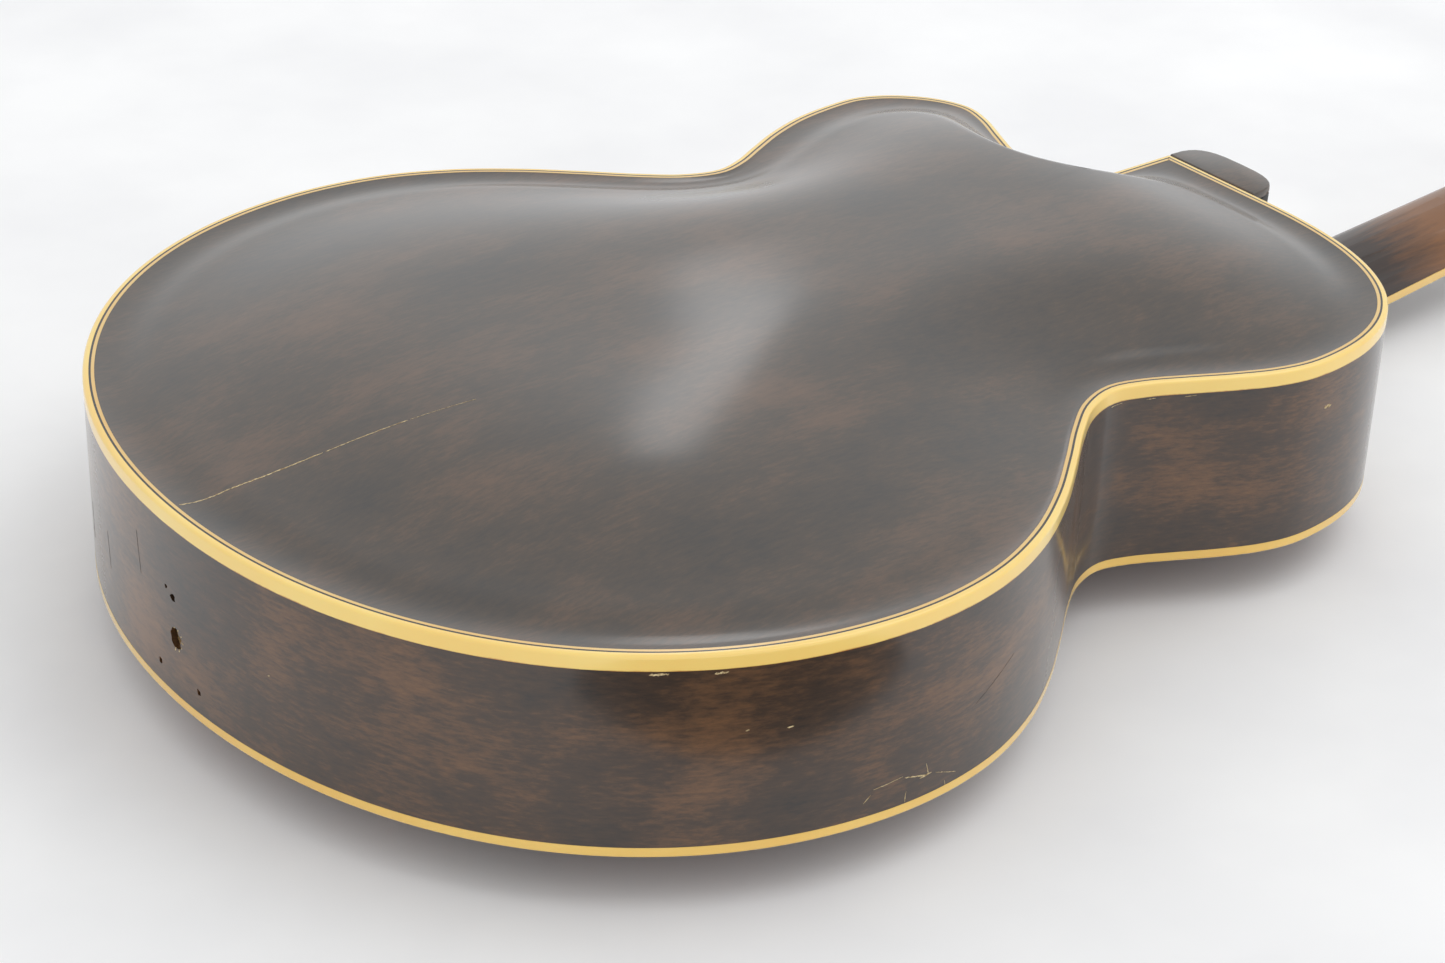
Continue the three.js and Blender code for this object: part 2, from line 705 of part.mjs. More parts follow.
function fingerboardBinding() {
  const edge = -BOARD_THICKNESS + camber(boardHalf(boardEnd)) + GLUE_GAP;
  const outer = [boardEnd, toNut - GLUE_GAP].map((x) => [x, boardHalf(x)]);
  const inner = [boardEnd + BOARD_BINDING, toNut + 1].map((x) => [x, boardHalf(x) - BOARD_BINDING]);
  const trapezium = ([[x0, h0], [x1, h1]]) =>
    [[x0, -h0], [x1, -h1], [x1, h1], [x0, h0]].map((p) => new THREE.Vector2(...p));
  return cut(slab(trapezium(outer), edge, -GLUE_GAP), slab(trapezium(inner), -CLEAR, CLEAR));
}

function fret(number) {
  const x = fretPlace(number);
  const crown = FRET_WIDTH / 2;
  const tang = FRET_TANG / 2;
  const half = boardHalf(x) - BOARD_BINDING - GLUE_GAP;
  const section = [
    [-crown, 0],
    [-tang, 0],
    [-tang, FRET_TANG_DEPTH],
    [tang, FRET_TANG_DEPTH],
    [tang, 0],
    [crown, 0],
    [crown / 2, -FRET_HEIGHT],
    [-crown / 2, -FRET_HEIGHT],
  ];
  const rings = [-1, 0, 1].map((s) => {
    const fall = camber(s * half) - BOARD_THICKNESS - GLUE_GAP;
    return section.map(([dx, dz]) => new THREE.Vector3(x + dx, s * half, dz + fall));
  });
  return loft(rings, "zx");
}

function nut() {
  const half = NUT_WIDTH / 2;
  const blank = box(toNut, pivotX - GLUE_GAP, -half, half, -NUT_HEIGHT, -GLUE_GAP);
  const slots = Array.from({ length: STRING_COUNT }, (_, i) => {
    const slot = rod("x", NUT_SLOT_RADIUS, CLEAR, 6);
    const outer = half - NUT_SLOT_MARGIN;
    return slot.translate(toNut, lerp(-outer, outer, i / (STRING_COUNT - 1)), -NUT_HEIGHT);
  });
  return cut(blank, ...slots);
}

// ---------------------------------------------------------------- tuners

function tunerPlate(side) {
  const from = TUNER_FIRST - TUNER_PLATE_OVERHANG;
  const near = -side * (TUNER_INSET - TUNER_PLATE_WIDTH / 2);
  const far = -side * (TUNER_INSET + TUNER_PLATE_WIDTH / 2);
  const low = Math.min(near, far);
  const base = box(from, tunerPlateTo, low, low + TUNER_PLATE_WIDTH, 0, TUNER_PLATE);
  const ears = tunerPlaces.flatMap((x) =>
    [low, low + TUNER_PLATE_WIDTH - EAR_THICKNESS].map((y) => {
      const height = TUNER_PLATE + KNOB_SHAFT_HEIGHT + EAR_OVER_SHAFT;
      const middle = x + wormOffset;
      return box(middle - EAR_HALF, middle + EAR_HALF, y, y + EAR_THICKNESS, TUNER_PLATE / 6, height);
    }),
  );
  const holes = tunerPlaces.flatMap((x) => [
    rod("z", POST_RADIUS + TURNING_GAP, CLEAR).translate(x, -side * TUNER_INSET, 0),
    rod("y", KNOB_SHAFT_RADIUS + TURNING_GAP, CLEAR, 10).translate(
      x + wormOffset,
      0,
      TUNER_PLATE + KNOB_SHAFT_HEIGHT,
    ),
  ]);
  return cut(union(base, ...ears), ...holes);
}

// The knob lies along its own y axis, through the worm.
function tunerKnob(side) {
  const length = TUNER_PLATE_WIDTH + KNOB_STANDOFF;
  const start = -(TUNER_INSET + TUNER_PLATE_WIDTH / 2);
  const shaftRod = rod("y", KNOB_SHAFT_RADIUS, length, 10).translate(0, side * (start + length / 2), 0);
  const worm = rod("y", WORM_RADIUS, WORM_LENGTH, 10).translate(0, -side * TUNER_INSET, 0);
  const { along, out, thick } = KNOB_HALF;
  const button = new THREE.SphereGeometry(1, 12, 8).scale(along, out, thick);
  button.translate(0, side * (start + length + out - KNOB_LAP), 0);
  return union(shaftRod, worm, button);
}

// The post stands on its own z axis, with its gear above the plate.
function tunerPost() {
  const low = -HEAD_THICKNESS - GLUE_GAP - POST_OVER_FACE;
  const high = TUNER_PLATE + KNOB_SHAFT_HEIGHT;
  const post = rod("z", POST_RADIUS, high - low, 12).translate(0, 0, (low + high) / 2);
  const gear = rod("z", GEAR_RADIUS, GEAR_HEIGHT, 14);
  const gearAt = TUNER_PLATE + GLUE_GAP + GEAR_HEIGHT / 2;
  return union(post, gear.translate(0, 0, gearAt));
}

// ---------------------------------------------------------------- assembly

const MATERIALS = {
  stainedMaple: { color: "#2a1710", roughness: 0.18 },
  spruce: { color: "#7c3b16", roughness: 0.2 },
  celluloid: { color: "#f0cf6c", roughness: 0.25 },
  mahogany: { color: "#4a2414", roughness: 0.22 },
  paleWood: { color: "#b99a6b", roughness: 0.7 },
  rosewood: { color: "#2b1a14", roughness: 0.45 },
  black: { color: "#0d0c0c", roughness: 0.25 },
  bone: { color: "#e8dcc0", roughness: 0.4 },
  nickel: { color: "#b8b4a8", roughness: 0.3, metalness: 1 },
  steel: { color: "#8d8f92", roughness: 0.4, metalness: 1 },
};
for (const key of Object.keys(MATERIALS)) {
  MATERIALS[key] = new THREE.MeshStandardMaterial(MATERIALS[key]);
}

const guitar = new THREE.Group();
guitar.add(neckGroup);

function place(parent, name, material, geometry) {
  const mesh = new THREE.Mesh(geometry, MATERIALS[material]);
  mesh.name = name;
  parent.add(mesh);
  return mesh;
}

const sideTop = -BACK_BINDING_HEIGHT - GLUE_GAP;
const sideBottom = -RIM_DEPTH + TOP_BINDING_HEIGHT + GLUE_GAP;
const liningFrom = SIDE_THICKNESS + GLUE_GAP;
const FAR = 1000;

const endPinHole = rod("x", END_PIN_HOLE / 2, 120).translate(0, TAIL_HARDWARE_SIDE, -END_PIN_DEPTH);

place(guitar, "back_plate", "stainedMaple", loft(plateRings(BACK_RISE, BACK_BINDING_HEIGHT)));

const topBlank = loft(turnedOver(plateRings(TOP_RISE, TOP_BINDING_HEIGHT)));
place(guitar, "top_plate", "spruce", cut(topBlank, fHole(-1), fHole(1), tenon(GLUE_GAP)));

place(guitar, "back_binding", "celluloid", band(0, BINDING_WIDTH, -BACK_BINDING_HEIGHT, 0));
const topBinding = band(0, BINDING_WIDTH, -RIM_DEPTH, -RIM_DEPTH + TOP_BINDING_HEIGHT);
place(guitar, "top_binding", "celluloid", cut(topBinding, tenon(GLUE_GAP)));

// The bent sides meet at the tail, and their neck ends stop beside the tenon.
const sideRing = band(0, SIDE_THICKNESS, sideBottom, sideTop);
const halves = [
  ["bass", box(-FAR, FAR, -FAR, -GLUE_GAP / 2, -FAR, FAR)],
  ["treble", box(-FAR, FAR, GLUE_GAP / 2, FAR, -FAR, FAR)],
];
for (const [name, half] of halves) {
  place(guitar, "side_" + name, "stainedMaple", cut(common(sideRing, half), tenon(GLUE_GAP), endPinHole));
}

const blockBack = BODY_LENGTH - liningFrom;
const blockFront = blockBack - NECK_BLOCK_LENGTH;
const blockTreble = CUTAWAY_SIDE - liningFrom;
const neckBlock = box(blockFront, blockBack, -NECK_BLOCK_BASS, blockTreble, sideBottom, sideTop);
place(guitar, "neck_block", "paleWood", cut(neckBlock, tenon(GLUE_GAP)));

const tailBlockBox = box(-1, TAIL_BLOCK_LENGTH, -TAIL_BLOCK_HALF, TAIL_BLOCK_HALF, sideBottom, sideTop);
const insideSides = loft([flatRing(liningFrom, -RIM_DEPTH), flatRing(liningFrom, 0)]);
place(guitar, "tail_block", "paleWood", cut(common(tailBlockBox, insideSides), endPinHole));

// Linings run along the sides from block to block.
const tailRoomHalf = TAIL_BLOCK_HALF + GLUE_GAP;
const blockRoom = [
  box(blockFront - GLUE_GAP, FAR, -NECK_BLOCK_BASS - GLUE_GAP, blockTreble + 1, -FAR, FAR),
  box(-FAR, TAIL_BLOCK_LENGTH + GLUE_GAP, -tailRoomHalf, tailRoomHalf, -FAR, FAR),
];
const liningBands = [
  ["back", sideTop - LINING_HEIGHT, sideTop],
  ["top", sideBottom, sideBottom + LINING_HEIGHT],
];
for (const [level, z0, z1] of liningBands) {
  const ring = cut(band(liningFrom, liningFrom + LINING_WIDTH, z0, z1), ...blockRoom);
  for (const [name, half] of halves) {
    place(guitar, "lining_" + level + "_" + name, "paleWood", common(ring, half));
  }
}

// Tone bars lie nearly along the top, closer together at the neck, and fit its hollow.
const hollow = topHollow();
const barLength = BODY_LENGTH - TONE_BAR_TO_NECK - TONE_BAR_FROM;
const barFloor = -RIM_DEPTH - TOP_RISE + PLATE_THICKNESS + TONE_BAR_DEPTH;
for (const [name, side] of [["bass", -1], ["treble", 1]]) {
  const half = TONE_BAR_WIDTH / 2;
  const bar = box(0, barLength, -half, half, -RIM_DEPTH - TOP_RISE, barFloor);
  const turn = Math.atan2(side * (TONE_BAR_NECK_SIDE - TONE_BAR_TAIL_SIDE), barLength);
  bar.rotateZ(turn).translate(TONE_BAR_FROM, side * TONE_BAR_TAIL_SIDE, 0);
  place(guitar, "tone_bar_" + name, "paleWood", common(bar, hollow));
}

place(guitar, "neck", "mahogany", neck());
const capRing = (z) => heelRing(z, HEEL_CAP_LENGTH, HEEL_CAP_HALF, HEEL_CAP_SQUARENESS);
place(guitar, "heel_cap", "stainedMaple", loft([capRing(-HEEL_CAP_THICKNESS), capRing(0)]));

place(neckGroup, "fingerboard", "rosewood", fingerboard());
place(neckGroup, "fingerboard_binding", "celluloid", fingerboardBinding());
for (let number = 1; number <= FRET_COUNT; number++) {
  place(neckGroup, "fret_" + String(number).padStart(2, "0"), "nickel", fret(number));
}
place(neckGroup, "nut", "bone", nut());

const rodLength = pivotX - TRUSS_ROD_FROM - GLUE_GAP;
const trussRod = rod("x", TRUSS_ROD / 2, rodLength, 10);
trussRod.translate(TRUSS_ROD_FROM + rodLength / 2, 0, TRUSS_ROD_DEPTH);
place(neckGroup, "truss_rod", "steel", trussRod);
const trussNut = rod("x", TRUSS_NUT / 2, TRUSS_NUT_LENGTH, 6);
trussNut.translate((trussNutFrom + trussNutTo) / 2, 0, TRUSS_ROD_DEPTH);
place(neckGroup, "truss_rod_nut", "nickel", trussNut);

const veneer = inHead(slab(headOutline(), 0, VENEER_THICKNESS));
const overNut = inNeck(box(0, pivotX + VENEER_BACK_OF_NUT, -CLEAR, CLEAR, -CLEAR, CLEAR));
place(guitar, "headstock_veneer", "black", cut(veneer, trussPocket(), overNut, ...postHoles()));

const coverOutline = COVER_SHAPE.map((p) => new THREE.Vector2(...p));
place(headGroup, "truss_rod_cover", "black", slab(coverOutline, -COVER_HEIGHT, -GLUE_GAP));

let tuner = 0;
for (const { side, row } of tunerRows) {
  const name = side < 0 ? "bass" : "treble";
  place(row, "tuner_plate_" + name, "nickel", tunerPlate(side));
  for (const x of tunerPlaces) {
    tuner += 1;
    const post = place(row, "tuner_post_" + tuner, "nickel", tunerPost());
    post.position.set(x, -side * TUNER_INSET, 0);
    const knob = place(row, "tuner_knob_" + tuner, "bone", tunerKnob(side));
    knob.position.set(x + wormOffset, 0, TUNER_PLATE + KNOB_SHAFT_HEIGHT);
  }
}

// The part's own frame: the middle of the floor under the guitar.
const model = new THREE.Group();
model.add(guitar);
model.updateMatrixWorld(true);
const bounds = new THREE.Box3().setFromObject(guitar, true);
const middle = bounds.getCenter(new THREE.Vector3());
guitar.position.set(-middle.x, -middle.y, -bounds.min.z);

export default model;
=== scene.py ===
# A carved archtop guitar with a rounded cutaway, lying face down on a pale floor.
# Metres, in the frame of the CAD model: X to the headstock, Y to the treble side, Z up to the back.
import json
import math

import bpy
import numpy as np
from mathutils import Matrix, Vector

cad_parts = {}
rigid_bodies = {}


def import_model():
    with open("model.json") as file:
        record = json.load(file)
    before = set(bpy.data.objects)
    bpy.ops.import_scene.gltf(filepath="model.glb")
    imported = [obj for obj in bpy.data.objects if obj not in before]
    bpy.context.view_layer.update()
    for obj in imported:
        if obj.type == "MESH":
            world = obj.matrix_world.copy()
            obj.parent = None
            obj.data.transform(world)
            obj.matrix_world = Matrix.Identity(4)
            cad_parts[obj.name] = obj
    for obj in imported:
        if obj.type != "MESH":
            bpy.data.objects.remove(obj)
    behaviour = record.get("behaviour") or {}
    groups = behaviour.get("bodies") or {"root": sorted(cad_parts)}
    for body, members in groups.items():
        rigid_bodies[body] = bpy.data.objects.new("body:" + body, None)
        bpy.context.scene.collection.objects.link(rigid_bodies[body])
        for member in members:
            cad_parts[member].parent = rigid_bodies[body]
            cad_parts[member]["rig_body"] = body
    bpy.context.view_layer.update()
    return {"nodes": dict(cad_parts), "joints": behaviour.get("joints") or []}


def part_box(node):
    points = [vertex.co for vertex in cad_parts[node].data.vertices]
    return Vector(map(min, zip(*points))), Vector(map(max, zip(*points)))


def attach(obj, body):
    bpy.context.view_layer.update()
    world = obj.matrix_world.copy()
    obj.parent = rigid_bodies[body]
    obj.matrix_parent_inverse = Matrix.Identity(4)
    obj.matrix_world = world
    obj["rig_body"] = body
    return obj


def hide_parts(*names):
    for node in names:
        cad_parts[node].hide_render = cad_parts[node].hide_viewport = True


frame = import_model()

# ------------------------------------------------------------------ room
# A pale table cloth under the guitar, with a broad soft light overhead and a pale wall behind.
# The wall is a light panel, so that the lacquer reflects it, and it doesn't show itself.
MM = 0.001
rim_low, rim_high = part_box("back_binding")
TAIL = rim_low.x
RIM = rim_high.z


def at(x, y, z):
    """A place in the guitar's own millimetres: from the tail, from the centre line, over the back's rim."""
    return Vector((TAIL + x * MM, y * MM, RIM + z * MM))


def linear(code):
    """An sRGB hex colour as a linear one with full alpha."""
    shares = [int(code[i : i + 2], 16) / 255 for i in (1, 3, 5)]
    return [s / 12.92 if s <= 0.04045 else ((s + 0.055) / 1.055) ** 2.4 for s in shares] + [1]


def put(tree, kind, sockets, stops=(), **settings):
    """Adds a node. A socket is given a value or the output that feeds it, a ramp its colour stops."""
    made = tree.nodes.new("ShaderNode" + kind)
    for name, value in settings.items():
        setattr(made, name, value)
    for index, (position, code) in enumerate(stops):
        points = made.color_ramp.elements
        point = points[index] if index < 2 else points.new(position)
        point.position = position
        point.color = linear(code)
    for name, value in sockets.items():
        if isinstance(value, bpy.types.NodeSocket):
            tree.links.new(value, made.inputs[name])
        else:
            made.inputs[name].default_value = value
    return made


def new_material(name, **surface):
    """A material with one surface shader, whose constant sockets are set by their names."""
    material = bpy.data.materials.new(name)
    material.use_nodes = True
    shader = material.node_tree.nodes["Principled BSDF"]
    for socket, value in surface.items():
        shader.inputs[socket.replace("_", " ")].default_value = value
    return material, material.node_tree, shader


def dress(piece, material):
    piece.data.materials.clear()
    piece.data.materials.append(material)
    return piece


def nothing_selected():
    if bpy.context.object and bpy.context.object.mode != "OBJECT":
        bpy.ops.object.mode_set(mode="OBJECT")
    bpy.ops.object.select_all(action="DESELECT")


# Washed cotton: matt, nearly white, with a faint unevenness of tone.
cloth, tree, shader = new_material("washed_cotton", Roughness=0.9)
place = put(tree, "TexCoord", {}).outputs["Object"]
tone = put(tree, "TexNoise", {"Vector": place, "Scale": 6.0, "Detail": 4.0}).outputs["Fac"]
tree.links.new(put(tree, "ValToRGB", {"Fac": tone}, stops=((0.35, "#f1f1f2"), (0.65, "#fafafa"))).outputs["Color"], shader.inputs["Base Color"])

nothing_selected()
bpy.ops.mesh.primitive_plane_add(size=14, location=(0, 0, 0))
floor = bpy.context.object
floor.name = "table_cloth"
dress(floor, cloth)

world = bpy.data.worlds.new("studio")
bpy.context.scene.world = world
world.use_nodes = True
world.node_tree.nodes["Background"].inputs["Color"].default_value = linear("#f4f5f6")
world.node_tree.nodes["Background"].inputs["Strength"].default_value = 1.0


def soft_light(name, place, aim, size, watts, code="#ffffff"):
    data = bpy.data.lights.new(name, "AREA")
    data.shape = "RECTANGLE"
    data.size, data.size_y = size
    data.energy = watts
    data.color = linear(code)[:3]
    lamp = bpy.data.objects.new(name, data)
    bpy.context.scene.collection.objects.link(lamp)
    lamp.location = place
    lamp.rotation_euler = (Vector(aim) - Vector(place)).to_track_quat("-Z", "Y").to_euler()
    lamp.visible_camera = False
    return lamp


soft_light("overhead", (0.9, -0.9, 2.4), (0, 0, 0), (2.4, 1.6), 14)
soft_light("window", (1.4, 2.1, 1.95), (-0.2, 0, 0.1), (0.2, 0.9), 1.3)

# A black card lies on the cloth beside the tail. Only reflections show it, low in the lacquer of the side.
black_felt, tree, shader = new_material("black_felt", Roughness=1.0)
shader.inputs["Specular IOR Level"].default_value = 0
place = put(tree, "TexCoord", {}).outputs["Object"]
fibre = put(tree, "TexNoise", {"Vector": place, "Scale": 60.0}).outputs["Fac"]
felt = put(tree, "ValToRGB", {"Fac": fibre}, stops=((0.3, "#0b0a0a"), (0.7, "#171514"))).outputs["Color"]
tree.links.new(felt, shader.inputs["Base Color"])
nothing_selected()
bpy.ops.mesh.primitive_plane_add(size=1)
card = bpy.context.object
card.name = "black_card"
card.data.transform(Matrix.Translation((0, -0.5, 0)))
card.data.transform(Matrix.Diagonal((0.32, 0.4, 1, 1)))
card.data.transform(Matrix.Rotation(math.radians(-14), 4, "Z"))
card.data.transform(Matrix.Translation((-0.43, -0.295, 0.001)))
dress(card, black_felt)
for ray in ("camera", "diffuse", "transmission", "shadow"):
    setattr(card, "visible_" + ray, False)

# ------------------------------------------------------------------ camera
# Beside the tail on the bass side, looking down over the back towards the cutaway.
CAMERA_PLACE = at(-488.5, -934.7, 603.5)
CAMERA_TURN = math.radians(51.194)
CAMERA_DOWN = math.radians(29.403)
CAMERA_ROLL = math.radians(2.064)
LENS_MM = 80.85

camera = bpy.data.objects.new("camera", bpy.data.cameras.new("camera"))
bpy.context.scene.collection.objects.link(camera)
camera.data.lens = LENS_MM
camera.data.sensor_width = 36
ahead = Vector((math.cos(CAMERA_TURN), math.sin(CAMERA_TURN), 0)) * math.cos(CAMERA_DOWN)
ahead.z = -math.sin(CAMERA_DOWN)
across = ahead.cross(Vector((0, 0, 1))).normalized()
upward = across.cross(ahead)
right = across * math.cos(CAMERA_ROLL) + upward * math.sin(CAMERA_ROLL)
top = upward * math.cos(CAMERA_ROLL) - across * math.sin(CAMERA_ROLL)
camera.matrix_world = Matrix.Translation(CAMERA_PLACE) @ Matrix((right, top, -ahead)).transposed().to_4x4()
bpy.context.scene.camera = camera
bpy.context.scene.view_settings.view_transform = "Standard"

# ------------------------------------------------------------------ carved back
# Two-piece maple, carved to an arch with a shallow recurve at the rim, stained dark walnut and
# lacquered. It is a skin of rings that step in from the outline, because no operator carves an arch.
HALF_COUNT = 220
RISE = 22
RECURVE = 0.8
EDGE_ROLL = 28
RIDGE_FROM = 190
RIDGE_FROM_NECK = 125
RIDGE_FALL = 0.1
RIDGE_EASE = 14
PLATE = 5
BACK_EDGE = 6.2
BINDING_WIDTH = 2.5
BLACK_LINE = 0.9
PALE_LINE = 1.3
PLATE_INSET = BINDING_WIDTH + BLACK_LINE + PALE_LINE + 0.1
GLUED_INSET = 10.5


def cad_outline():
    """The corners of the back's outer rim in guitar millimetres, anticlockwise from the tail."""
    mesh = frame["nodes"]["back_binding"].data
    spot = {v.index: (round(v.co.x, 6), round(v.co.y, 6)) for v in mesh.vertices}
    sides = set()
    for face in mesh.polygons:
        if face.normal.z > 0.9:
            corners = [spot[i] for i in face.vertices]
            sides.update(zip(corners, corners[1:] + corners[:1]))
    border = {a: b for a, b in sides if (b, a) not in sides}
    loop = [min(border)]
    while border[loop[-1]] != loop[0]:
        loop.append(border[loop[-1]])
    return [np.array(((x - TAIL) / MM, y / MM)) for x, y in loop]


def threaded(points, before, after, step=1.5):
    """A smooth curve through points, with a point before the first and after the last to lead it."""
    chain = [before, *points, after]
    curve = []
    for p0, p1, p2, p3 in zip(chain, chain[1:], chain[2:], chain[3:]):
        t0 = 0
        t1 = t0 + np.linalg.norm(p1 - p0) ** 0.5
        t2 = t1 + np.linalg.norm(p2 - p1) ** 0.5
        t3 = t2 + np.linalg.norm(p3 - p2) ** 0.5
        for t in np.linspace(t1, t2, max(2, int(np.linalg.norm(p2 - p1) / step)), endpoint=False):
            a1 = ((t1 - t) * p0 + (t - t0) * p1) / (t1 - t0)
            a2 = ((t2 - t) * p1 + (t - t1) * p2) / (t2 - t1)
            a3 = ((t3 - t) * p2 + (t - t2) * p3) / (t3 - t2)
            b1 = ((t2 - t) * a1 + (t - t0) * a2) / (t2 - t0)
            b2 = ((t3 - t) * a2 + (t - t1) * a3) / (t3 - t1)
            curve.append(((t2 - t) * b1 + (t - t1) * b2) / (t2 - t1))
    return [*curve, points[-1]]


def spaced(path, count):
    """Evenly spaced points along a path, the last one left off. Its sharpest corner stays."""
    path = np.array(path)
    run = np.concatenate([[0], np.cumsum(np.linalg.norm(np.diff(path, axis=0), axis=1))])
    places = np.linspace(0, run[-1], count, endpoint=False)
    found = np.stack([np.interp(places, run, path[:, k]) for k in (0, 1)], axis=1)
    ways = np.diff(path, axis=0) / np.linalg.norm(np.diff(path, axis=0), axis=1)[:, None]
    turn = np.einsum("ij,ij->i", ways[:-1], ways[1:])
    if turn.min() < 0.3:
        corner = path[1 + turn.argmin()]
        found[np.linalg.norm(found - corner, axis=1).argmin()] = corner
    return found


corners = cad_outline()
LENGTH = max(p[0] for p in corners)
end = [i for i, p in enumerate(corners) if p[0] > LENGTH - 0.01]
shoulder, neck_corner = corners[end[0]], corners[end[-1]]
mouth = corners[end[-1] + 1]
bent = corners[end[-1] + 1 :] + corners[: end[0] + 1]
tail_index = len(corners) - end[-1] - 1
curve = threaded(bent, neck_corner, shoulder + np.array((0, 10.0)))
tail_at = int(np.argmin([np.linalg.norm(p - bent[tail_index]) for p in curve]))
neck_middle = np.array((LENGTH, 0.0))
bass_half = spaced([*curve[tail_at:], neck_middle], HALF_COUNT)
treble_half = spaced([neck_middle, neck_corner, *curve[: tail_at + 1]], HALF_COUNT)
outline = np.concatenate([bass_half, treble_half])


def inset(distance):
    """The outline moved inwards, each point along the mitre of its two edges."""
    before = outline - np.roll(outline, 1, axis=0)
    after = np.roll(outline, -1, axis=0) - outline
    before /= np.linalg.norm(before, axis=1)[:, None]
    after /= np.linalg.norm(after, axis=1)[:, None]
    mitre = np.stack([-before[:, 1] - after[:, 1], before[:, 0] + after[:, 0]], axis=1)
    return outline + mitre * (distance / (1 + (before * after).sum(1)))[:, None]


def ring(distance, z):
    return np.column_stack([inset(distance), np.broadcast_to(z, len(outline))])


uncut = np.concatenate([bass_half, [neck_middle], (bass_half * (1, -1))[:0:-1]])


def edge_distance(loop, points):
    """A smooth distance to an outline: true beside a straight edge, less where edges face each other."""
    a = loop[::2]
    b = np.roll(a, -1, axis=0)
    length = np.linalg.norm(b - a, axis=1)
    way = (b - a) / length[:, None]
    pull = np.zeros(len(points))
    for (ax, ay), (wx, wy), run in zip(a, way, length):
        start = (ax - points[:, 0]) * wx + (ay - points[:, 1]) * wy
        off = np.maximum(1e-3, abs((ax - points[:, 0]) * wy - (ay - points[:, 1]) * wx))
        pull += ((start + run) / np.hypot(off, start + run) - start / np.hypot(off, start)) / off**2
    return np.sqrt(2 / np.maximum(pull, 1e-12))


def swell(share):
    return (1 - np.cos(np.pi * np.minimum(1, share))) / 2


ridge_to = LENGTH - RIDGE_FROM_NECK


def arch(points, rise):
    """The height of a carved plate over its rim, as in the CAD, with the ends of the ridge eased."""
    along = RIDGE_FROM + RIDGE_EASE * np.log1p(np.exp((points[:, 0] - RIDGE_FROM) / RIDGE_EASE))
    along = ridge_to - RIDGE_EASE * np.log1p(np.exp((ridge_to - along) / RIDGE_EASE))
    middle = (RIDGE_FROM + ridge_to) / 2
    ridge = rise * (1 - RIDGE_FALL * ((along - middle) / (ridge_to - middle)) ** 2)
    spine = np.column_stack([along, np.zeros(len(along))])
    share = edge_distance(uncut, points) / edge_distance(uncut, spine)
    edge = np.minimum(1, edge_distance(outline, points) / EDGE_ROLL)
    return ridge * swell(share) * swell(edge) - RECURVE * np.sin(np.pi * edge) ** 2


def carved(distance, rise, lift, steps, power):
    """Rings from an inset of the outline to the spine, on the arch."""
    start = inset(distance)
    spine_x = np.clip(start[:HALF_COUNT, 0], RIDGE_FROM, ridge_to)
    spine = np.column_stack([np.concatenate([spine_x, np.roll(spine_x[::-1], 1)]), np.zeros(len(start))])
    spine[HALF_COUNT, 0] = ridge_to
    rings = []
    for k in range(1, steps + 1):
        t = (k / steps) ** power
        points = start * (1 - t) + spine * t
        rings.append(np.column_stack([points, arch(points, rise) + lift]))
    return rings


def skin(name, rings, closed, flip=False, turned=False):
    """A mesh through rings of points. Rings run anticlockwise, from the bottom up."""
    if turned:
        rings = [r * (1, 1, -1) - (0, 0, RIM_DEPTH) for r in rings]
    count = len(rings[0])
    faces = []
    for k in range(len(rings) if closed else len(rings) - 1):
        low, high = k * count, (k + 1) % len(rings) * count
        for i in range(count):
            j = (i + 1) % count
            face = (low + i, low + j, high + j, high + i)
            faces.append(face[::-1] if flip else face)
    places = [at(*p) for r in rings for p in r]
    mesh = bpy.data.meshes.new(name)
    mesh.from_pydata(places, [], faces)
    piece = bpy.data.objects.new(name, mesh)
    bpy.context.scene.collection.objects.link(piece)
    return piece


def finished(piece, angle=40):
    """Merges doubles, turns every face outwards and rounds the shading below an angle."""
    nothing_selected()
    bpy.context.view_layer.objects.active = piece
    piece.select_set(True)
    bpy.ops.object.mode_set(mode="EDIT")
    bpy.ops.mesh.select_all(action="SELECT")
    bpy.ops.mesh.remove_doubles(threshold=1e-6)
    bpy.ops.mesh.normals_make_consistent(inside=False)
    bpy.ops.object.mode_set(mode="OBJECT")
    bpy.ops.object.shade_smooth_by_angle(angle=math.radians(angle))
    piece.select_set(False)
    return piece


def carve_plate(name, rise, edge, turned):
    under = carved(GLUED_INSET, rise, -PLATE, 14, 1.2)
    over = carved(PLATE_INSET, rise, 0, 46, 1.15)
    for r in under:
        r[:, 2] = np.maximum(r[:, 2], -edge)
    rings = [
        *under[::-1],
        ring(GLUED_INSET, -edge),
        ring(BINDING_WIDTH + 0.2, -edge),
        ring(BINDING_WIDTH + 0.2, -1.6),
        ring(PLATE_INSET, -1.6),
        ring(PLATE_INSET, -0.05),
        *over,
    ]
    return finished(skin(name, rings, closed=False, turned=turned), 50)


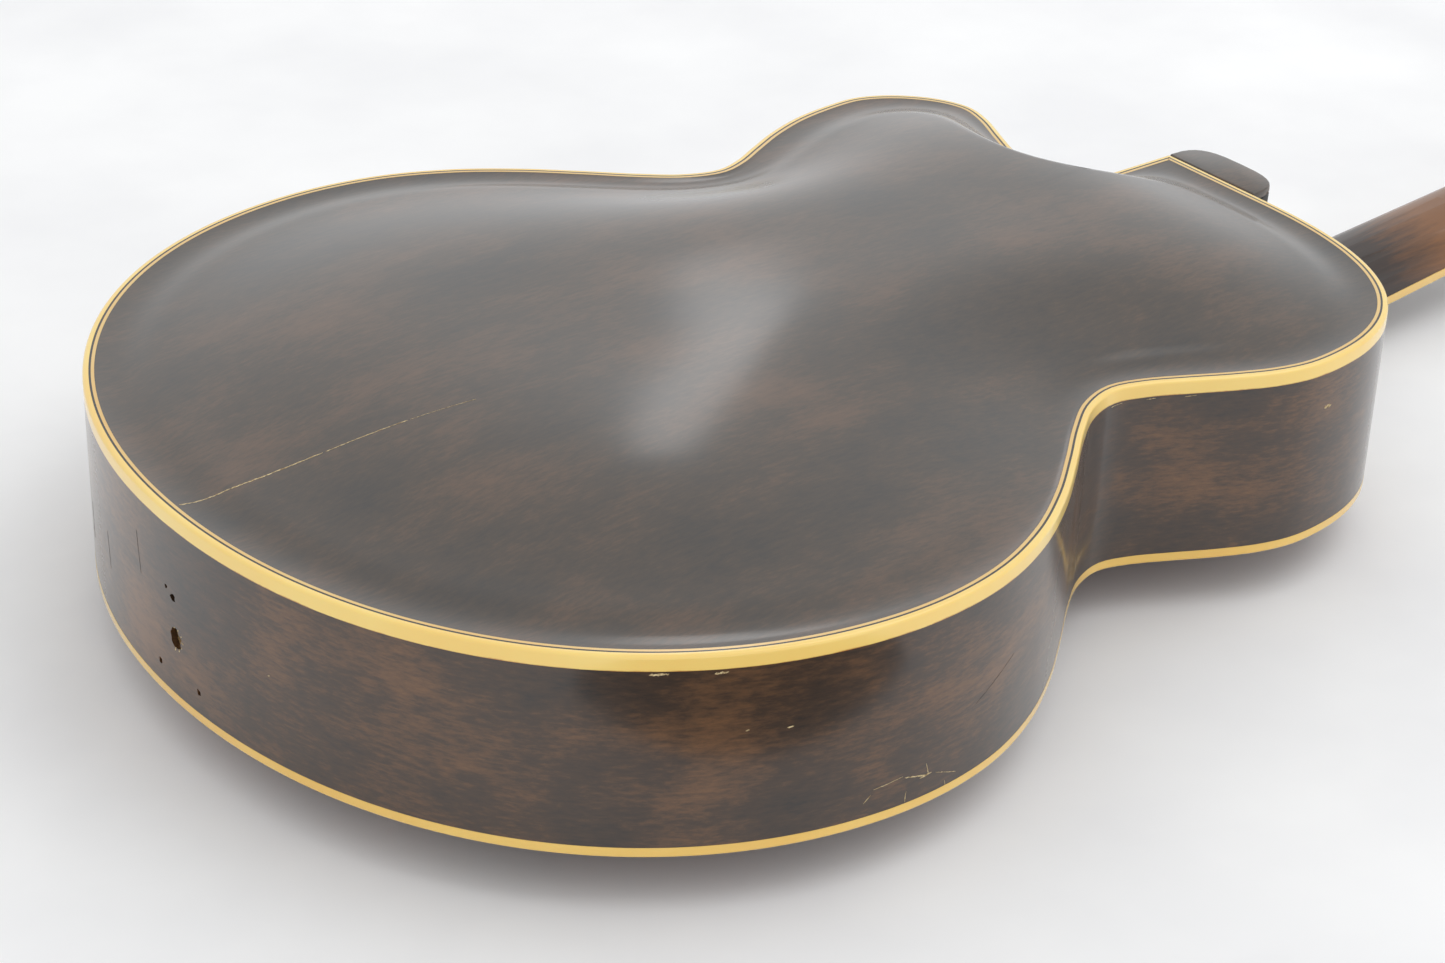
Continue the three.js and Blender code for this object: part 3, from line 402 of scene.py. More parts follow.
# Stained maple under aged nitrocellulose lacquer: the stain sits unevenly in the wood, so dark
# brown clouds over a redder ground, with short flecks along the grain under a deep even gloss.
def stained_maple(name, grain, dark, mid, red):
    material, tree, shader = new_material(
        name, Roughness=0.45, IOR=1.5, Coat_Weight=0.9, Coat_Roughness=0.15
    )
    place = put(tree, "TexCoord", {}).outputs["Object"]

    def noise(long_mm, wide_mm, detail, roughness):
        scale = [1 / (MM * (long_mm if axis in grain else wide_mm)) for axis in "xyz"]
        stretched = put(tree, "Mapping", {"Vector": place, "Scale": scale}).outputs["Vector"]
        sockets = {"Vector": stretched, "Scale": 1.0, "Detail": detail, "Roughness": roughness}
        return put(tree, "TexNoise", sockets).outputs["Fac"]

    clouds = noise(70, 45, 4.0, 0.6)
    flecks = noise(7, 1.6, 4.0, 0.7)
    bands = noise(120, 9, 3.0, 0.5)
    stained = put(tree, "Math", {0: flecks, 1: 0.45}, operation="MULTIPLY").outputs[0]
    stained = put(tree, "Math", {0: clouds, 1: 0.75, 2: stained}, operation="MULTIPLY_ADD").outputs[0]
    stained = put(tree, "Math", {0: bands, 1: 0.15, 2: stained}, operation="MULTIPLY_ADD").outputs[0]
    colour = put(tree, "ValToRGB", {"Fac": stained}, stops=((0.5, dark), (0.67, mid), (0.86, red))).outputs["Color"]
    tree.links.new(colour, shader.inputs["Base Color"])
    waves = noise(60, 35, 2.0, 0.5)
    bump = put(tree, "Bump", {"Height": waves, "Strength": 0.25, "Distance": 0.4 * MM}).outputs["Normal"]
    tree.links.new(bump, shader.inputs["Coat Normal"])
    return material


RIM_DEPTH = 85.7
walnut_back = stained_maple("walnut_stained_maple_back", "x", "#211a13", "#37291a", "#553c27")
back = carve_plate("carved_back", RISE, BACK_EDGE, turned=False)
dress(back, walnut_back)
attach(back, "guitar")
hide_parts("back_plate")

# ------------------------------------------------------------------ bindings
# Celluloid strips bent round the rim and scraped to a soft outer edge. They have yellowed, and the
# stain bleeds a little over their edges. The back also has a thin black and a thin pale line.
TOP_EDGE = 4.6
ROUND = 1.4


def bound(name, z0, z1, round_at_top):
    arc = [(ROUND * (1 - math.sin(a)), ROUND * (1 - math.cos(a))) for a in np.linspace(0, math.pi / 2, 6)]
    if round_at_top:
        edge = [(d, z1 - h) for d, h in reversed([(x, y) for y, x in arc])]
        section = [(BINDING_WIDTH, z0), (0, z0), *sorted(edge, key=lambda p: (p[1], -p[0])), (BINDING_WIDTH, z1)]
    else:
        edge = [(x, z0 + y) for y, x in arc]
        section = [(BINDING_WIDTH, z0), *sorted(edge, key=lambda p: (p[1], -p[0])), (0, z1), (BINDING_WIDTH, z1)]
    return finished(skin(name, [ring(d, z) for d, z in section], closed=True), 30)


def celluloid(name, low, high, clean, rim_stain):
    material, tree, shader = new_material(
        name, Roughness=0.3, IOR=1.5, Coat_Weight=0.8, Coat_Roughness=0.14, Subsurface_Weight=0.1,
    )
    shader.inputs["Subsurface Radius"].default_value = (0.004, 0.0025, 0.001)
    place = put(tree, "TexCoord", {}).outputs["Object"]
    height = put(tree, "SeparateXYZ", {"Vector": place}).outputs["Z"]
    share = put(tree, "MapRange", {"Value": height, "From Min": low, "From Max": high}).outputs["Result"]
    dirt = put(tree, "TexNoise", {"Vector": place, "Scale": 90.0, "Detail": 5.0, "Roughness": 0.7}).outputs["Fac"]
    mottled = put(tree, "Math", {0: dirt, 1: 0.22, 2: share}, operation="MULTIPLY_ADD").outputs[0]
    shaded = put(tree, "ValToRGB", {"Fac": mottled}, stops=((0.08, rim_stain), (0.18, clean), (1.0, clean))).outputs["Color"]
    tone = put(tree, "TexNoise", {"Vector": place, "Scale": 18.0, "Detail": 3.0}).outputs["Fac"]
    worn = put(tree, "ValToRGB", {"Fac": tone}, stops=((0.3, "#fff6d8"), (0.7, "#f7dc98"))).outputs["Color"]
    mixed = put(tree, "Mix", {0: 0.55, 6: shaded, 7: worn}, data_type="RGBA", blend_type="MULTIPLY")
    tree.links.new(mixed.outputs[2], shader.inputs["Base Color"])
    return material


yellowed = celluloid("yellowed_celluloid", RIM - BACK_EDGE * MM, RIM, "#f8dc88", "#b9752f")
back_binding = bound("back_binding_strip", -BACK_EDGE, 0, round_at_top=True)
dress(back_binding, yellowed)
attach(back_binding, "guitar")
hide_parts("back_binding")

TOP_RIM = -RIM_DEPTH
yellowed_front = celluloid("yellowed_celluloid_front", RIM + TOP_RIM * MM, RIM + (TOP_RIM + TOP_EDGE) * MM, "#f4d074", "#a9662a")
top_binding = bound("top_binding_strip", TOP_RIM, TOP_RIM + TOP_EDGE, round_at_top=False)
dress(top_binding, yellowed_front)
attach(top_binding, "guitar")
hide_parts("top_binding")

black_celluloid, tree, shader = new_material("black_celluloid", Roughness=0.35, Coat_Weight=0.5, Coat_Roughness=0.12)
grain = put(tree, "TexNoise", {"Vector": put(tree, "TexCoord", {}).outputs["Object"], "Scale": 300.0})
tree.links.new(put(tree, "ValToRGB", {"Fac": grain.outputs["Fac"]}, stops=((0.3, "#15110e"), (0.7, "#2a211a"))).outputs["Color"], shader.inputs["Base Color"])


def line(name, outer, inner, material, turned=False):
    section = [(inner, -1.5), (outer, -1.5), (outer, 0), (inner, 0.0)]
    piece = skin(name, [ring(d, z) for d, z in section], closed=True, turned=turned)
    dress(finished(piece, 30), material)
    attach(piece, "guitar")


pale_line = celluloid("amber_celluloid_line", RIM - 3 * MM, RIM, "#e3c27c", "#e3c27c")
for side, turned in (("back", False), ("top", True)):
    line(side + "_black_line", BINDING_WIDTH + 0.02, BINDING_WIDTH + BLACK_LINE, black_celluloid, turned)
    line(side + "_pale_line", BINDING_WIDTH + BLACK_LINE, PLATE_INSET - 0.05, pale_line, turned)

# ------------------------------------------------------------------ bent sides
# Two maple sides, bent over heat and glued to blocks at the tail and neck, stained like the back.
SIDE = 2.4
SIDE_INSET = 0.06
side_top = -BACK_EDGE - 0.05
side_bottom = TOP_RIM + TOP_EDGE + 0.05
walnut_side = stained_maple("walnut_stained_maple_sides", "xy", "#1c120a", "#3c2714", "#6b4725")


def wall(name, first, last):
    section = [(SIDE_INSET, side_bottom), (SIDE_INSET, side_top), (SIDE, side_top), (SIDE, side_bottom)]
    rings = [np.concatenate([ring(d, z), ring(d, z)[:1]])[first:last] for d, z in section]
    places = [at(*p) for r in rings for p in r]
    count = last - first
    faces = [(k * count + i, k * count + i + 1, (k + 1) % 4 * count + i + 1, (k + 1) % 4 * count + i)
             for k in range(4) for i in range(count - 1)]
    faces += [tuple(k * count for k in range(4)), tuple(k * count + count - 1 for k in reversed(range(4)))]
    mesh = bpy.data.meshes.new(name)
    mesh.from_pydata(places, [], faces)
    piece = bpy.data.objects.new(name, mesh)
    bpy.context.scene.collection.objects.link(piece)
    return finished(piece, 40)


for name, first, last in (("bass", 0, HALF_COUNT + 1), ("treble", HALF_COUNT, 2 * HALF_COUNT + 1)):
    side = wall("bent_side_" + name, first, last)
    dress(side, walnut_side)
    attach(side, "guitar")
    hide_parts("side_" + name)

# ------------------------------------------------------------------ carved top
top_piece = carve_plate("carved_top", 17, TOP_EDGE, turned=True)
burst = stained_maple("stained_spruce", "x", "#20100a", "#5a2a12", "#8a4a1c")
dress(top_piece, burst)
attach(top_piece, "guitar")
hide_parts("top_plate")

# ------------------------------------------------------------------ neck joint and holes
# The neck's tenon passes through the top and its binding. The end pin and the tailpiece are gone,
# and their holes in the tail are left, chewed out by use.
TENON_LENGTH, TENON_HALF, TENON_FLOOR = 38.3, 12.3, 11.7
PIN_SIDE, PIN_DEPTH, PIN_RADIUS = -2, -55, 4


def cut_away(piece, cutter):
    nothing_selected()
    bpy.context.view_layer.objects.active = piece
    piece.select_set(True)
    modifier = piece.modifiers.new("cut", "BOOLEAN")
    modifier.object = cutter
    modifier.solver = "MANIFOLD"
    bpy.ops.object.modifier_apply(modifier="cut")


def cutter_box(low, high):
    nothing_selected()
    bpy.ops.mesh.primitive_cube_add(size=1)
    box = bpy.context.object
    low, high = at(*low), at(*high)
    box.data.transform(Matrix.Diagonal((*(high - low), 1)))
    box.data.transform(Matrix.Translation((low + high) / 2))
    return box


def cutter_rod(place, radius, depth, ragged, sides=20):
    """A rod along X, its round edge roughened by a share of its radius."""
    nothing_selected()
    bpy.ops.mesh.primitive_cylinder_add(vertices=sides, radius=radius * MM, depth=2 * depth * MM)
    rod = bpy.context.object
    dice = np.random.default_rng(int(abs(place[1]) * 10 + abs(place[2])))
    for corner in range(sides):
        share = 1 + ragged * dice.uniform(-1, 1)
        for vertex in (rod.data.vertices[2 * corner], rod.data.vertices[2 * corner + 1]):
            vertex.co.x *= share
            vertex.co.y *= share
    rod.data.transform(Matrix.Rotation(math.radians(90), 4, "Y"))
    rod.data.transform(Matrix.Translation(at(*place)))
    return rod


tenon_room = cutter_box((LENGTH - TENON_LENGTH, -TENON_HALF, -88.3), (LENGTH + 5, TENON_HALF, -TENON_FLOOR))
pin_hole = cutter_rod((0, PIN_SIDE, PIN_DEPTH), PIN_RADIUS, 9, 0.16)
screw_holes = [
    cutter_rod((0, y, z), radius, 1.6, 0.3, 10)
    for y, z, radius in ((-1.4, -37.4, 1.7), (3.5, -34.5, 0.9), (11.7, -71.8, 1.3), (-16.8, -71.6, 1.3))
]
sides = [bpy.data.objects["bent_side_bass"], bpy.data.objects["bent_side_treble"]]
for side in sides:
    for cutter in (tenon_room, pin_hole, *screw_holes):
        cut_away(side, cutter)
for piece in (top_piece, top_binding):
    cut_away(piece, tenon_room)


# f-holes: a tapered slot with an eye at each end, sawn through the top on both sides.
F_UPPER = (222, 82, 5.5)
F_LOWER = (366, 112, 7.0)
F_HOOK = 20
F_SLOT = 4.6


def f_hole(side):
    upper = np.array((LENGTH - F_UPPER[0] + F_UPPER[2] - 1, side * F_UPPER[1]))
    lower = np.array((LENGTH - F_LOWER[0] - F_LOWER[2] + 1, side * F_LOWER[1]))
    handles = [upper, upper + (F_HOOK, side * F_HOOK), lower - (F_HOOK, side * F_HOOK), lower]
    t = np.linspace(0, 1, 40)[:, None]
    weights = ((1 - t) ** 3, 3 * t * (1 - t) ** 2, 3 * t**2 * (1 - t), t**3)
    middle = sum(w * h for w, h in zip(weights, handles))
    way = np.gradient(middle, axis=0)
    way /= np.linalg.norm(way, axis=1)[:, None]
    half = 0.8 + (F_SLOT - 0.8) * np.sin(np.pi * t)
    across_way = np.column_stack([-way[:, 1], way[:, 0]]) * half
    edge = np.concatenate([middle + across_way, (middle - across_way)[::-1]])
    rings = [[at(x, y, z) for x, y in edge] for z in (-RIM_DEPTH - 30, -RIM_DEPTH + 12)]
    count = len(edge)
    faces = [(i, (i + 1) % count, count + (i + 1) % count, count + i) for i in range(count)]
    mesh = bpy.data.meshes.new("slot")
    mesh.from_pydata([p for r in rings for p in r], [], [*faces, tuple(range(count)), tuple(range(count, 2 * count))])
    slot = bpy.data.objects.new("slot", mesh)
    bpy.context.scene.collection.objects.link(slot)
    cutters = [finished(slot)]
    for from_neck, away, radius in (F_UPPER, F_LOWER):
        nothing_selected()
        bpy.ops.mesh.primitive_cylinder_add(vertices=40, radius=radius * MM, depth=60 * MM)
        eye = bpy.context.object
        eye.data.transform(Matrix.Translation(at(LENGTH - from_neck, side * away, -RIM_DEPTH - 10)))
        cutters.append(eye)
    return cutters


slots = f_hole(-1) + f_hole(1)
for cutter in slots:
    cut_away(top_piece, cutter)
for cutter in (tenon_room, pin_hole, *screw_holes, *slots):
    bpy.data.objects.remove(cutter)
for piece in (top_piece, top_binding, *sides):
    finished(piece, 40)

# ------------------------------------------------------------------ wear
# Where the lacquer is scratched or chipped through, pale raw maple shows. A shrinkage crack runs
# up the back from the tail. Each mark is a thin sliver that stands a hair over the surface.
bare_maple, tree, shader = new_material("bare_scratched_maple", Roughness=0.8)
fibre = put(tree, "TexNoise", {"Vector": put(tree, "TexCoord", {}).outputs["Object"], "Scale": 900.0, "Detail": 3.0})
tree.links.new(put(tree, "ValToRGB", {"Fac": fibre.outputs["Fac"]}, stops=((0.35, "#8f7650"), (0.65, "#dcc89a"))).outputs["Color"], shader.inputs["Base Color"])
dark_scratch, tree, shader = new_material("dirt_in_scratches", Roughness=0.7)
fibre = put(tree, "TexNoise", {"Vector": put(tree, "TexCoord", {}).outputs["Object"], "Scale": 700.0, "Detail": 3.0})
tree.links.new(put(tree, "ValToRGB", {"Fac": fibre.outputs["Fac"]}, stops=((0.35, "#1c1512"), (0.65, "#3a2c24"))).outputs["Color"], shader.inputs["Base Color"])
LIFT = 0.05
steps_round = np.concatenate([[0], np.cumsum(np.linalg.norm(np.diff(outline, axis=0), axis=1))])
whole_way = steps_round[-1] + np.linalg.norm(outline[0] - outline[-1])


def on_side(run, z):
    """A place on the side and the way out of it: mm from the tail, the bass way round, and height."""
    run %= whole_way
    place = np.array([np.interp(run, steps_round, outline[:, k]) for k in (0, 1)])
    ahead_place = np.array([np.interp((run + 1) % whole_way, steps_round, outline[:, k]) for k in (0, 1)])
    way = (ahead_place - place) / np.linalg.norm(ahead_place - place)
    out = np.array((way[1], -way[0], 0))
    return np.array((*place, z)) - out * SIDE_INSET, out


def on_back(x, y):
    height = arch(np.array([[x, y]], float), RISE)[0]
    return np.array((x, y, height)), np.array((0, 0, 1.0))


def sliver(path, surface, width, seed, step=0.8):
    """A ragged strip along a path on a surface, as rings of four points."""
    dice = np.random.default_rng(seed)
    path = np.array(path, float)
    run = np.concatenate([[0], np.cumsum(np.linalg.norm(np.diff(path, axis=0), axis=1))])
    places = np.linspace(0, run[-1], max(4, int(run[-1] / step)))
    points = [surface(*(np.interp(p, run, path[:, k]) for k in (0, 1))) for p in places]
    rings = []
    for k, (place, out) in enumerate(points):
        before, after = points[max(0, k - 1)][0], points[min(len(points) - 1, k + 1)][0]
        side_way = np.cross(out, after - before)
        side_way /= max(1e-9, np.linalg.norm(side_way))
        half = width / 2 * dice.uniform(0.35, 1.0) * (0.25 if k in (0, len(points) - 1) else 1)
        drift = side_way * dice.uniform(-0.3, 0.3) * width / 2
        rings.append([place + drift + side_way * s * half + out * h
                      for s, h in ((-1, -0.2), (1, -0.2), (0.7, LIFT), (-0.7, LIFT))])
    return rings


def marks(name, material, slivers):
    places, faces = [], []
    for rings in slivers:
        base = len(places)
        places += [at(*p) for r in rings for p in r]
        for k in range(len(rings) - 1):
            low = base + 4 * k
            faces += [(low + i, low + (i + 1) % 4, low + 4 + (i + 1) % 4, low + 4 + i) for i in range(4)]
        end = base + 4 * (len(rings) - 1)
        faces += [(base + 3, base + 2, base + 1, base), (end, end + 1, end + 2, end + 3)]
    mesh = bpy.data.meshes.new(name)
    mesh.from_pydata(places, [], faces)
    piece = bpy.data.objects.new(name, mesh)
    bpy.context.scene.collection.objects.link(piece)
    dress(finished(piece), material)
    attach(piece, "guitar")


marks("back_crack", bare_maple, [
    sliver([(4.6, 1.2), (34, -4.5), (62, -10)], on_back, 1.0, 1),
    sliver([(63, -10.2), (96, -16)], on_back, 0.7, 2),
    sliver([(97, -16.2), (124, -21)], on_back, 0.3, 3),
])
SCRATCHES = (
    (0.5, (297, -70), (303, -69.6), (310, -68.6)),
    (0.9, (311, -69.5), (322, -72.4)),
    (1.1, (318, -72.6), (324, -72)),
    (0.4, (326, -73), (337, -77.4)),
    (0.5, (296, -72), (293, -75)),
    (0.6, (312, -75.9), (311.6, -80.6)),
    (0.5, (331, -78.4), (332, -82)),
    (0.5, (321, -67), (322.4, -72)),
)
CHIPS = ((1.6, 214, -7.6, 7), (1.3, 236, -7.8, 5), (0.9, 246, -33, 1.6), (0.9, 262, -34, 2.6), (0.9, 60, -44, 1.2), (2.2, 615.7, -22.6, 4.5))
EDGE_DINTS = ((0.4, 516, -7.4, 6), (0.5, 532, -7.3, 4), (0.4, 549, -7.4, 5))
pale_marks = [sliver(path, on_side, width, 10 + k) for k, (width, *path) in enumerate(SCRATCHES)]
pale_marks += [
    sliver([(run - long / 2, z), (run + long / 2, z + 0.3)], on_side, width, 30 + k, 0.5)
    for k, (width, run, z, long) in enumerate(CHIPS + EDGE_DINTS)
]
dice = np.random.default_rng(7)
for angle in np.linspace(0, 2 * math.pi, 11, endpoint=False):
    way = np.array((math.cos(angle), math.sin(angle)))
    start = np.array((-PIN_SIDE, PIN_DEPTH)) + way * (PIN_RADIUS + 0.2)
    torn = sliver([start, start + way * dice.uniform(0.6, 1.8)], on_side, dice.uniform(0.5, 1.4), 70, 0.4)
    pale_marks.append(torn)
marks("side_scratches", bare_maple, pale_marks)
DARK_LINES = (
    (0.6, (-99, -48), (-98, -64)),
    (0.5, (-64, -42), (-62, -58)),
    (0.5, (-27, -22), (-25, -40)),
    (0.25, (346, -51.5), (358, -46), (370, -41)),
)
marks("side_dark_lines", dark_scratch,
      [sliver(path, on_side, width, 50 + k) for k, (width, *path) in enumerate(DARK_LINES)])

# ------------------------------------------------------------------ neck
# One piece of maple for shaft, heel and headstock, shaded from black at the heel to amber brown.
# The cap on the heel is a slip of the back's dark maple.
NECK_ANGLE = math.radians(5.5)
NECK_DARK_FROM, NECK_DARK_TO = 600, 940


def refined(name, material, angle=35, bevel=0.0, segments=2):
    """A copy of a CAD node with its corners eased and its curves shaded round."""
    node = frame["nodes"][name]
    piece = bpy.data.objects.new(name + "_finished", node.data.copy())
    bpy.context.scene.collection.objects.link(piece)
    nothing_selected()
    bpy.context.view_layer.objects.active = piece
    piece.select_set(True)
    bpy.ops.object.mode_set(mode="EDIT")
    bpy.ops.mesh.select_all(action="SELECT")
    bpy.ops.mesh.remove_doubles(threshold=1e-6)
    if bevel:
        bpy.ops.mesh.dissolve_limited(angle_limit=math.radians(0.6))
    bpy.ops.object.mode_set(mode="OBJECT")
    if bevel:
        modifier = piece.modifiers.new("ease", "BEVEL")
        modifier.width = bevel * MM
        modifier.segments = segments
        modifier.angle_limit = math.radians(50)
        bpy.ops.object.modifier_apply(modifier="ease")
    bpy.ops.object.shade_smooth_by_angle(angle=math.radians(angle))
    dress(piece, material)
    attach(piece, node["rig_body"])
    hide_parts(name)
    return piece


neck_finish, tree, shader = new_material(
    "shaded_maple_neck", Roughness=0.45, IOR=1.5, Coat_Weight=0.4, Coat_Roughness=0.12
)
place = put(tree, "TexCoord", {}).outputs["Object"]
along = put(tree, "SeparateXYZ", {"Vector": place}).outputs["X"]
share = put(tree, "MapRange", {"Value": along, "From Min": TAIL + NECK_DARK_FROM * MM, "From Max": TAIL + NECK_DARK_TO * MM}).outputs["Result"]
stretched = put(tree, "Mapping", {"Vector": place, "Scale": (40, 420, 420)}).outputs["Vector"]
figure = put(tree, "TexNoise", {"Vector": stretched, "Scale": 1.0, "Detail": 4.0, "Roughness": 0.6}).outputs["Fac"]
shade = put(tree, "Math", {0: figure, 1: 0.16, 2: share}, operation="MULTIPLY_ADD").outputs[0]
shaded = put(tree, "ValToRGB", {"Fac": shade}, stops=((0.16, "#0b0705"), (0.26, "#2e1a0c"), (0.38, "#7a4c20"), (0.8, "#744619"), (1.0, "#341c0d"))).outputs["Color"]
tree.links.new(shaded, shader.inputs["Base Color"])
refined("neck", neck_finish, 24)
refined("heel_cap", walnut_back, 35, 0.8, 3)

# ------------------------------------------------------------------ fingerboard
# Rosewood with twenty nickel frets and pearl dots, bound in the same celluloid as the body.
neck_up = Vector((-math.sin(NECK_ANGLE), 0, math.cos(NECK_ANGLE)))
rosewood, tree, shader = new_material("oiled_rosewood", Roughness=0.5, IOR=1.5)
place = put(tree, "TexCoord", {}).outputs["Object"]
pores = put(tree, "Mapping", {"Vector": place, "Scale": (60, 900, 900)}).outputs["Vector"]
figure = put(tree, "TexNoise", {"Vector": pores, "Scale": 1.0, "Detail": 5.0, "Roughness": 0.7}).outputs["Fac"]
tree.links.new(put(tree, "ValToRGB", {"Fac": figure}, stops=((0.35, "#1c0f0a"), (0.65, "#4a2a1c"))).outputs["Color"], shader.inputs["Base Color"])
bump = put(tree, "Bump", {"Height": figure, "Strength": 0.3, "Distance": 0.1 * MM}).outputs["Normal"]
tree.links.new(bump, shader.inputs["Normal"])
dress(frame["nodes"]["fingerboard"], rosewood)

nickel, tree, shader = new_material("worn_nickel_plate", Metallic=1.0, Roughness=0.3)
place = put(tree, "TexCoord", {}).outputs["Object"]
wear = put(tree, "TexNoise", {"Vector": place, "Scale": 160.0, "Detail": 5.0, "Roughness": 0.65}).outputs["Fac"]
tree.links.new(put(tree, "ValToRGB", {"Fac": wear}, stops=((0.35, "#a39b8a"), (0.65, "#cfcabd"))).outputs["Color"], shader.inputs["Base Color"])
rough = put(tree, "MapRange", {"Value": wear, "To Min": 0.22, "To Max": 0.5}).outputs["Result"]
tree.links.new(rough, shader.inputs["Roughness"])
for name, node in frame["nodes"].items():
    if name.startswith("fret_"):
        dress(node, nickel)

board_low, board_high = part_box("fingerboard_binding")
cream = celluloid("yellowed_celluloid_board", board_low.z - 1, board_low.z - 0.5, "#f0d084", "#f0d084")
refined("fingerboard_binding", cream, 30, 0.3)

pearl, tree, shader = new_material("mother_of_pearl", Roughness=0.25, IOR=1.53, Coat_Weight=0.3)
place = put(tree, "TexCoord", {}).outputs["Object"]
layers = put(tree, "TexNoise", {"Vector": place, "Scale": 400.0, "Detail": 2.0, "Distortion": 1.5}).outputs["Fac"]
tree.links.new(put(tree, "ValToRGB", {"Fac": layers}, stops=((0.35, "#cfd6cf"), (0.5, "#efe9e2"), (0.65, "#d8cfdc"))).outputs["Color"], shader.inputs["Base Color"])
DOT_RADIUS = 3.2
DOT_OVER_BOARD = 1.34
for number, sides_out in ((3, (0,)), (5, (0,)), (7, (0,)), (9, (0,)), (12, (-9, 9)), (15, (0,))):
    ends = [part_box("fret_%02d" % k) for k in (number - 1, number)]
    low_points = [Vector(((lo.x + hi.x) / 2, 0, lo.z)) for lo, hi in ends]
    middle = (low_points[0] + low_points[1]) / 2 + neck_up * DOT_OVER_BOARD * MM
    for out in sides_out:
        nothing_selected()
        bpy.ops.mesh.primitive_cylinder_add(vertices=32, radius=DOT_RADIUS * MM, depth=0.5 * MM)
        dot = bpy.context.object
        dot.name = "position_dot_%d%s" % (number, "" if out <= 0 else "b")
        dot.data.transform(Matrix.Rotation(-NECK_ANGLE, 4, "Y"))
        dot.data.transform(Matrix.Translation(middle + Vector((0, out * MM, 0.14 * MM * (out != 0)))))
        bpy.ops.object.shade_smooth_by_angle(angle=math.radians(40))
        dress(dot, pearl)
        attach(dot, "guitar")

bone, tree, shader = new_material("polished_bone", Roughness=0.35, IOR=1.54, Subsurface_Weight=0.1)
shader.inputs["Subsurface Radius"].default_value = (0.002, 0.0015, 0.001)
place = put(tree, "TexCoord", {}).outputs["Object"]
pores = put(tree, "TexNoise", {"Vector": place, "Scale": 500.0, "Detail": 4.0}).outputs["Fac"]
tree.links.new(put(tree, "ValToRGB", {"Fac": pores}, stops=((0.35, "#cdbf9d"), (0.6, "#e9dfc6"))).outputs["Color"], shader.inputs["Base Color"])
refined("nut", bone, 30, 0.25)

# ------------------------------------------------------------------ headstock
# The face is a black lacquered veneer with a plastic cover over the truss rod's nut.
ebonised, tree, shader = new_material("black_lacquered_veneer", Roughness=0.35, Coat_Weight=1.0, Coat_Roughness=0.06)
place = put(tree, "TexCoord", {}).outputs["Object"]
figure = put(tree, "TexNoise", {"Vector": place, "Scale": 120.0, "Detail": 3.0}).outputs["Fac"]
tree.links.new(put(tree, "ValToRGB", {"Fac": figure}, stops=((0.35, "#080707"), (0.65, "#15110f"))).outputs["Color"], shader.inputs["Base Color"])
refined("headstock_veneer", ebonised, 35)
refined("truss_rod_cover", ebonised, 35, 0.35)

# ------------------------------------------------------------------ tuners
# Open-geared machine heads, three on a plate, with cream buttons. The worm turns the post's gear.
refined("tuner_plate_bass", nickel, 30, 0.2)
refined("tuner_plate_treble", nickel, 30, 0.2)
joints = {j["name"]: j for j in frame["joints"]}
button_cream = celluloid("aged_cream_buttons", -1, -0.5, "#efe0b4", "#efe0b4")
KNOB_FROM, KNOB_TO = -22, 3
BUTTON_MIDDLE, BUTTON_SIZE = 12, (15.6, 19.6, 7.8)
GEAR_TEETH = 14


def turned_rod(radius, y0, y1, sides=20):
    """A rod along the knob's own Y axis, in mm."""
    nothing_selected()
    bpy.ops.mesh.primitive_cylinder_add(vertices=sides, radius=radius, depth=y1 - y0)
    rod = bpy.context.object
    rod.data.transform(Matrix.Rotation(math.radians(90), 4, "X"))
    rod.data.transform(Matrix.Translation((0, (y0 + y1) / 2, 0)))
    return rod


def knob_button():
    """A cushion-shaped button: a cube, pinched towards the shaft and rounded by subdivision."""
    nothing_selected()
    bpy.ops.mesh.primitive_cube_add(size=1)
    button = bpy.context.object
    bpy.ops.object.mode_set(mode="EDIT")
    bpy.ops.mesh.select_all(action="SELECT")
    bpy.ops.mesh.bevel(offset=0.22, segments=2, affect="EDGES")
    bpy.ops.object.mode_set(mode="OBJECT")
    for vertex in button.data.vertices:
        pinch = 0.72 + 0.28 * (vertex.co.y + 0.5) ** 0.6
        vertex.co.x *= pinch
    button.data.transform(Matrix.Diagonal((*BUTTON_SIZE, 1)))
    button.data.transform(Matrix.Translation((0, BUTTON_MIDDLE, 0)))
    modifier = button.modifiers.new("round", "SUBSURF")
    modifier.levels = modifier.render_levels = 2
    bpy.ops.object.modifier_apply(modifier="round")
    return button


def worm():
    """Collars and grooves stand for the screw thread of the worm."""
    nothing_selected()
    bpy.ops.mesh.primitive_cylinder_add(vertices=20, radius=2.7, depth=8, end_fill_type="NGON")
    screw = bpy.context.object
    bpy.ops.object.mode_set(mode="EDIT")
    for k in range(1, 12):
        bpy.ops.mesh.select_all(action="SELECT")
        bpy.ops.mesh.bisect(plane_co=(0, 0, -4 + k * 8 / 12), plane_no=(0, 0, 1))
    bpy.ops.object.mode_set(mode="OBJECT")
    for vertex in screw.data.vertices:
        if round((vertex.co.z + 4) / 8 * 12) % 2:
            vertex.co.x *= 0.78
            vertex.co.y *= 0.78
    screw.data.transform(Matrix.Rotation(math.radians(90), 4, "X"))
    screw.data.transform(Matrix.Translation((0, -12, 0)))
    return screw


def joined(pieces, name):
    nothing_selected()
    for piece in pieces:
        piece.select_set(True)
    bpy.context.view_layer.objects.active = pieces[0]
    bpy.ops.object.join()
    pieces[0].name = name
    bpy.ops.object.shade_smooth_by_angle(angle=math.radians(35))
    return pieces[0]


shaft_rod = dress(turned_rod(1.5, KNOB_FROM, KNOB_TO + 2), nickel)
first_knob = joined([shaft_rod, dress(worm(), nickel), dress(knob_button(), button_cream)], "knob_pattern")

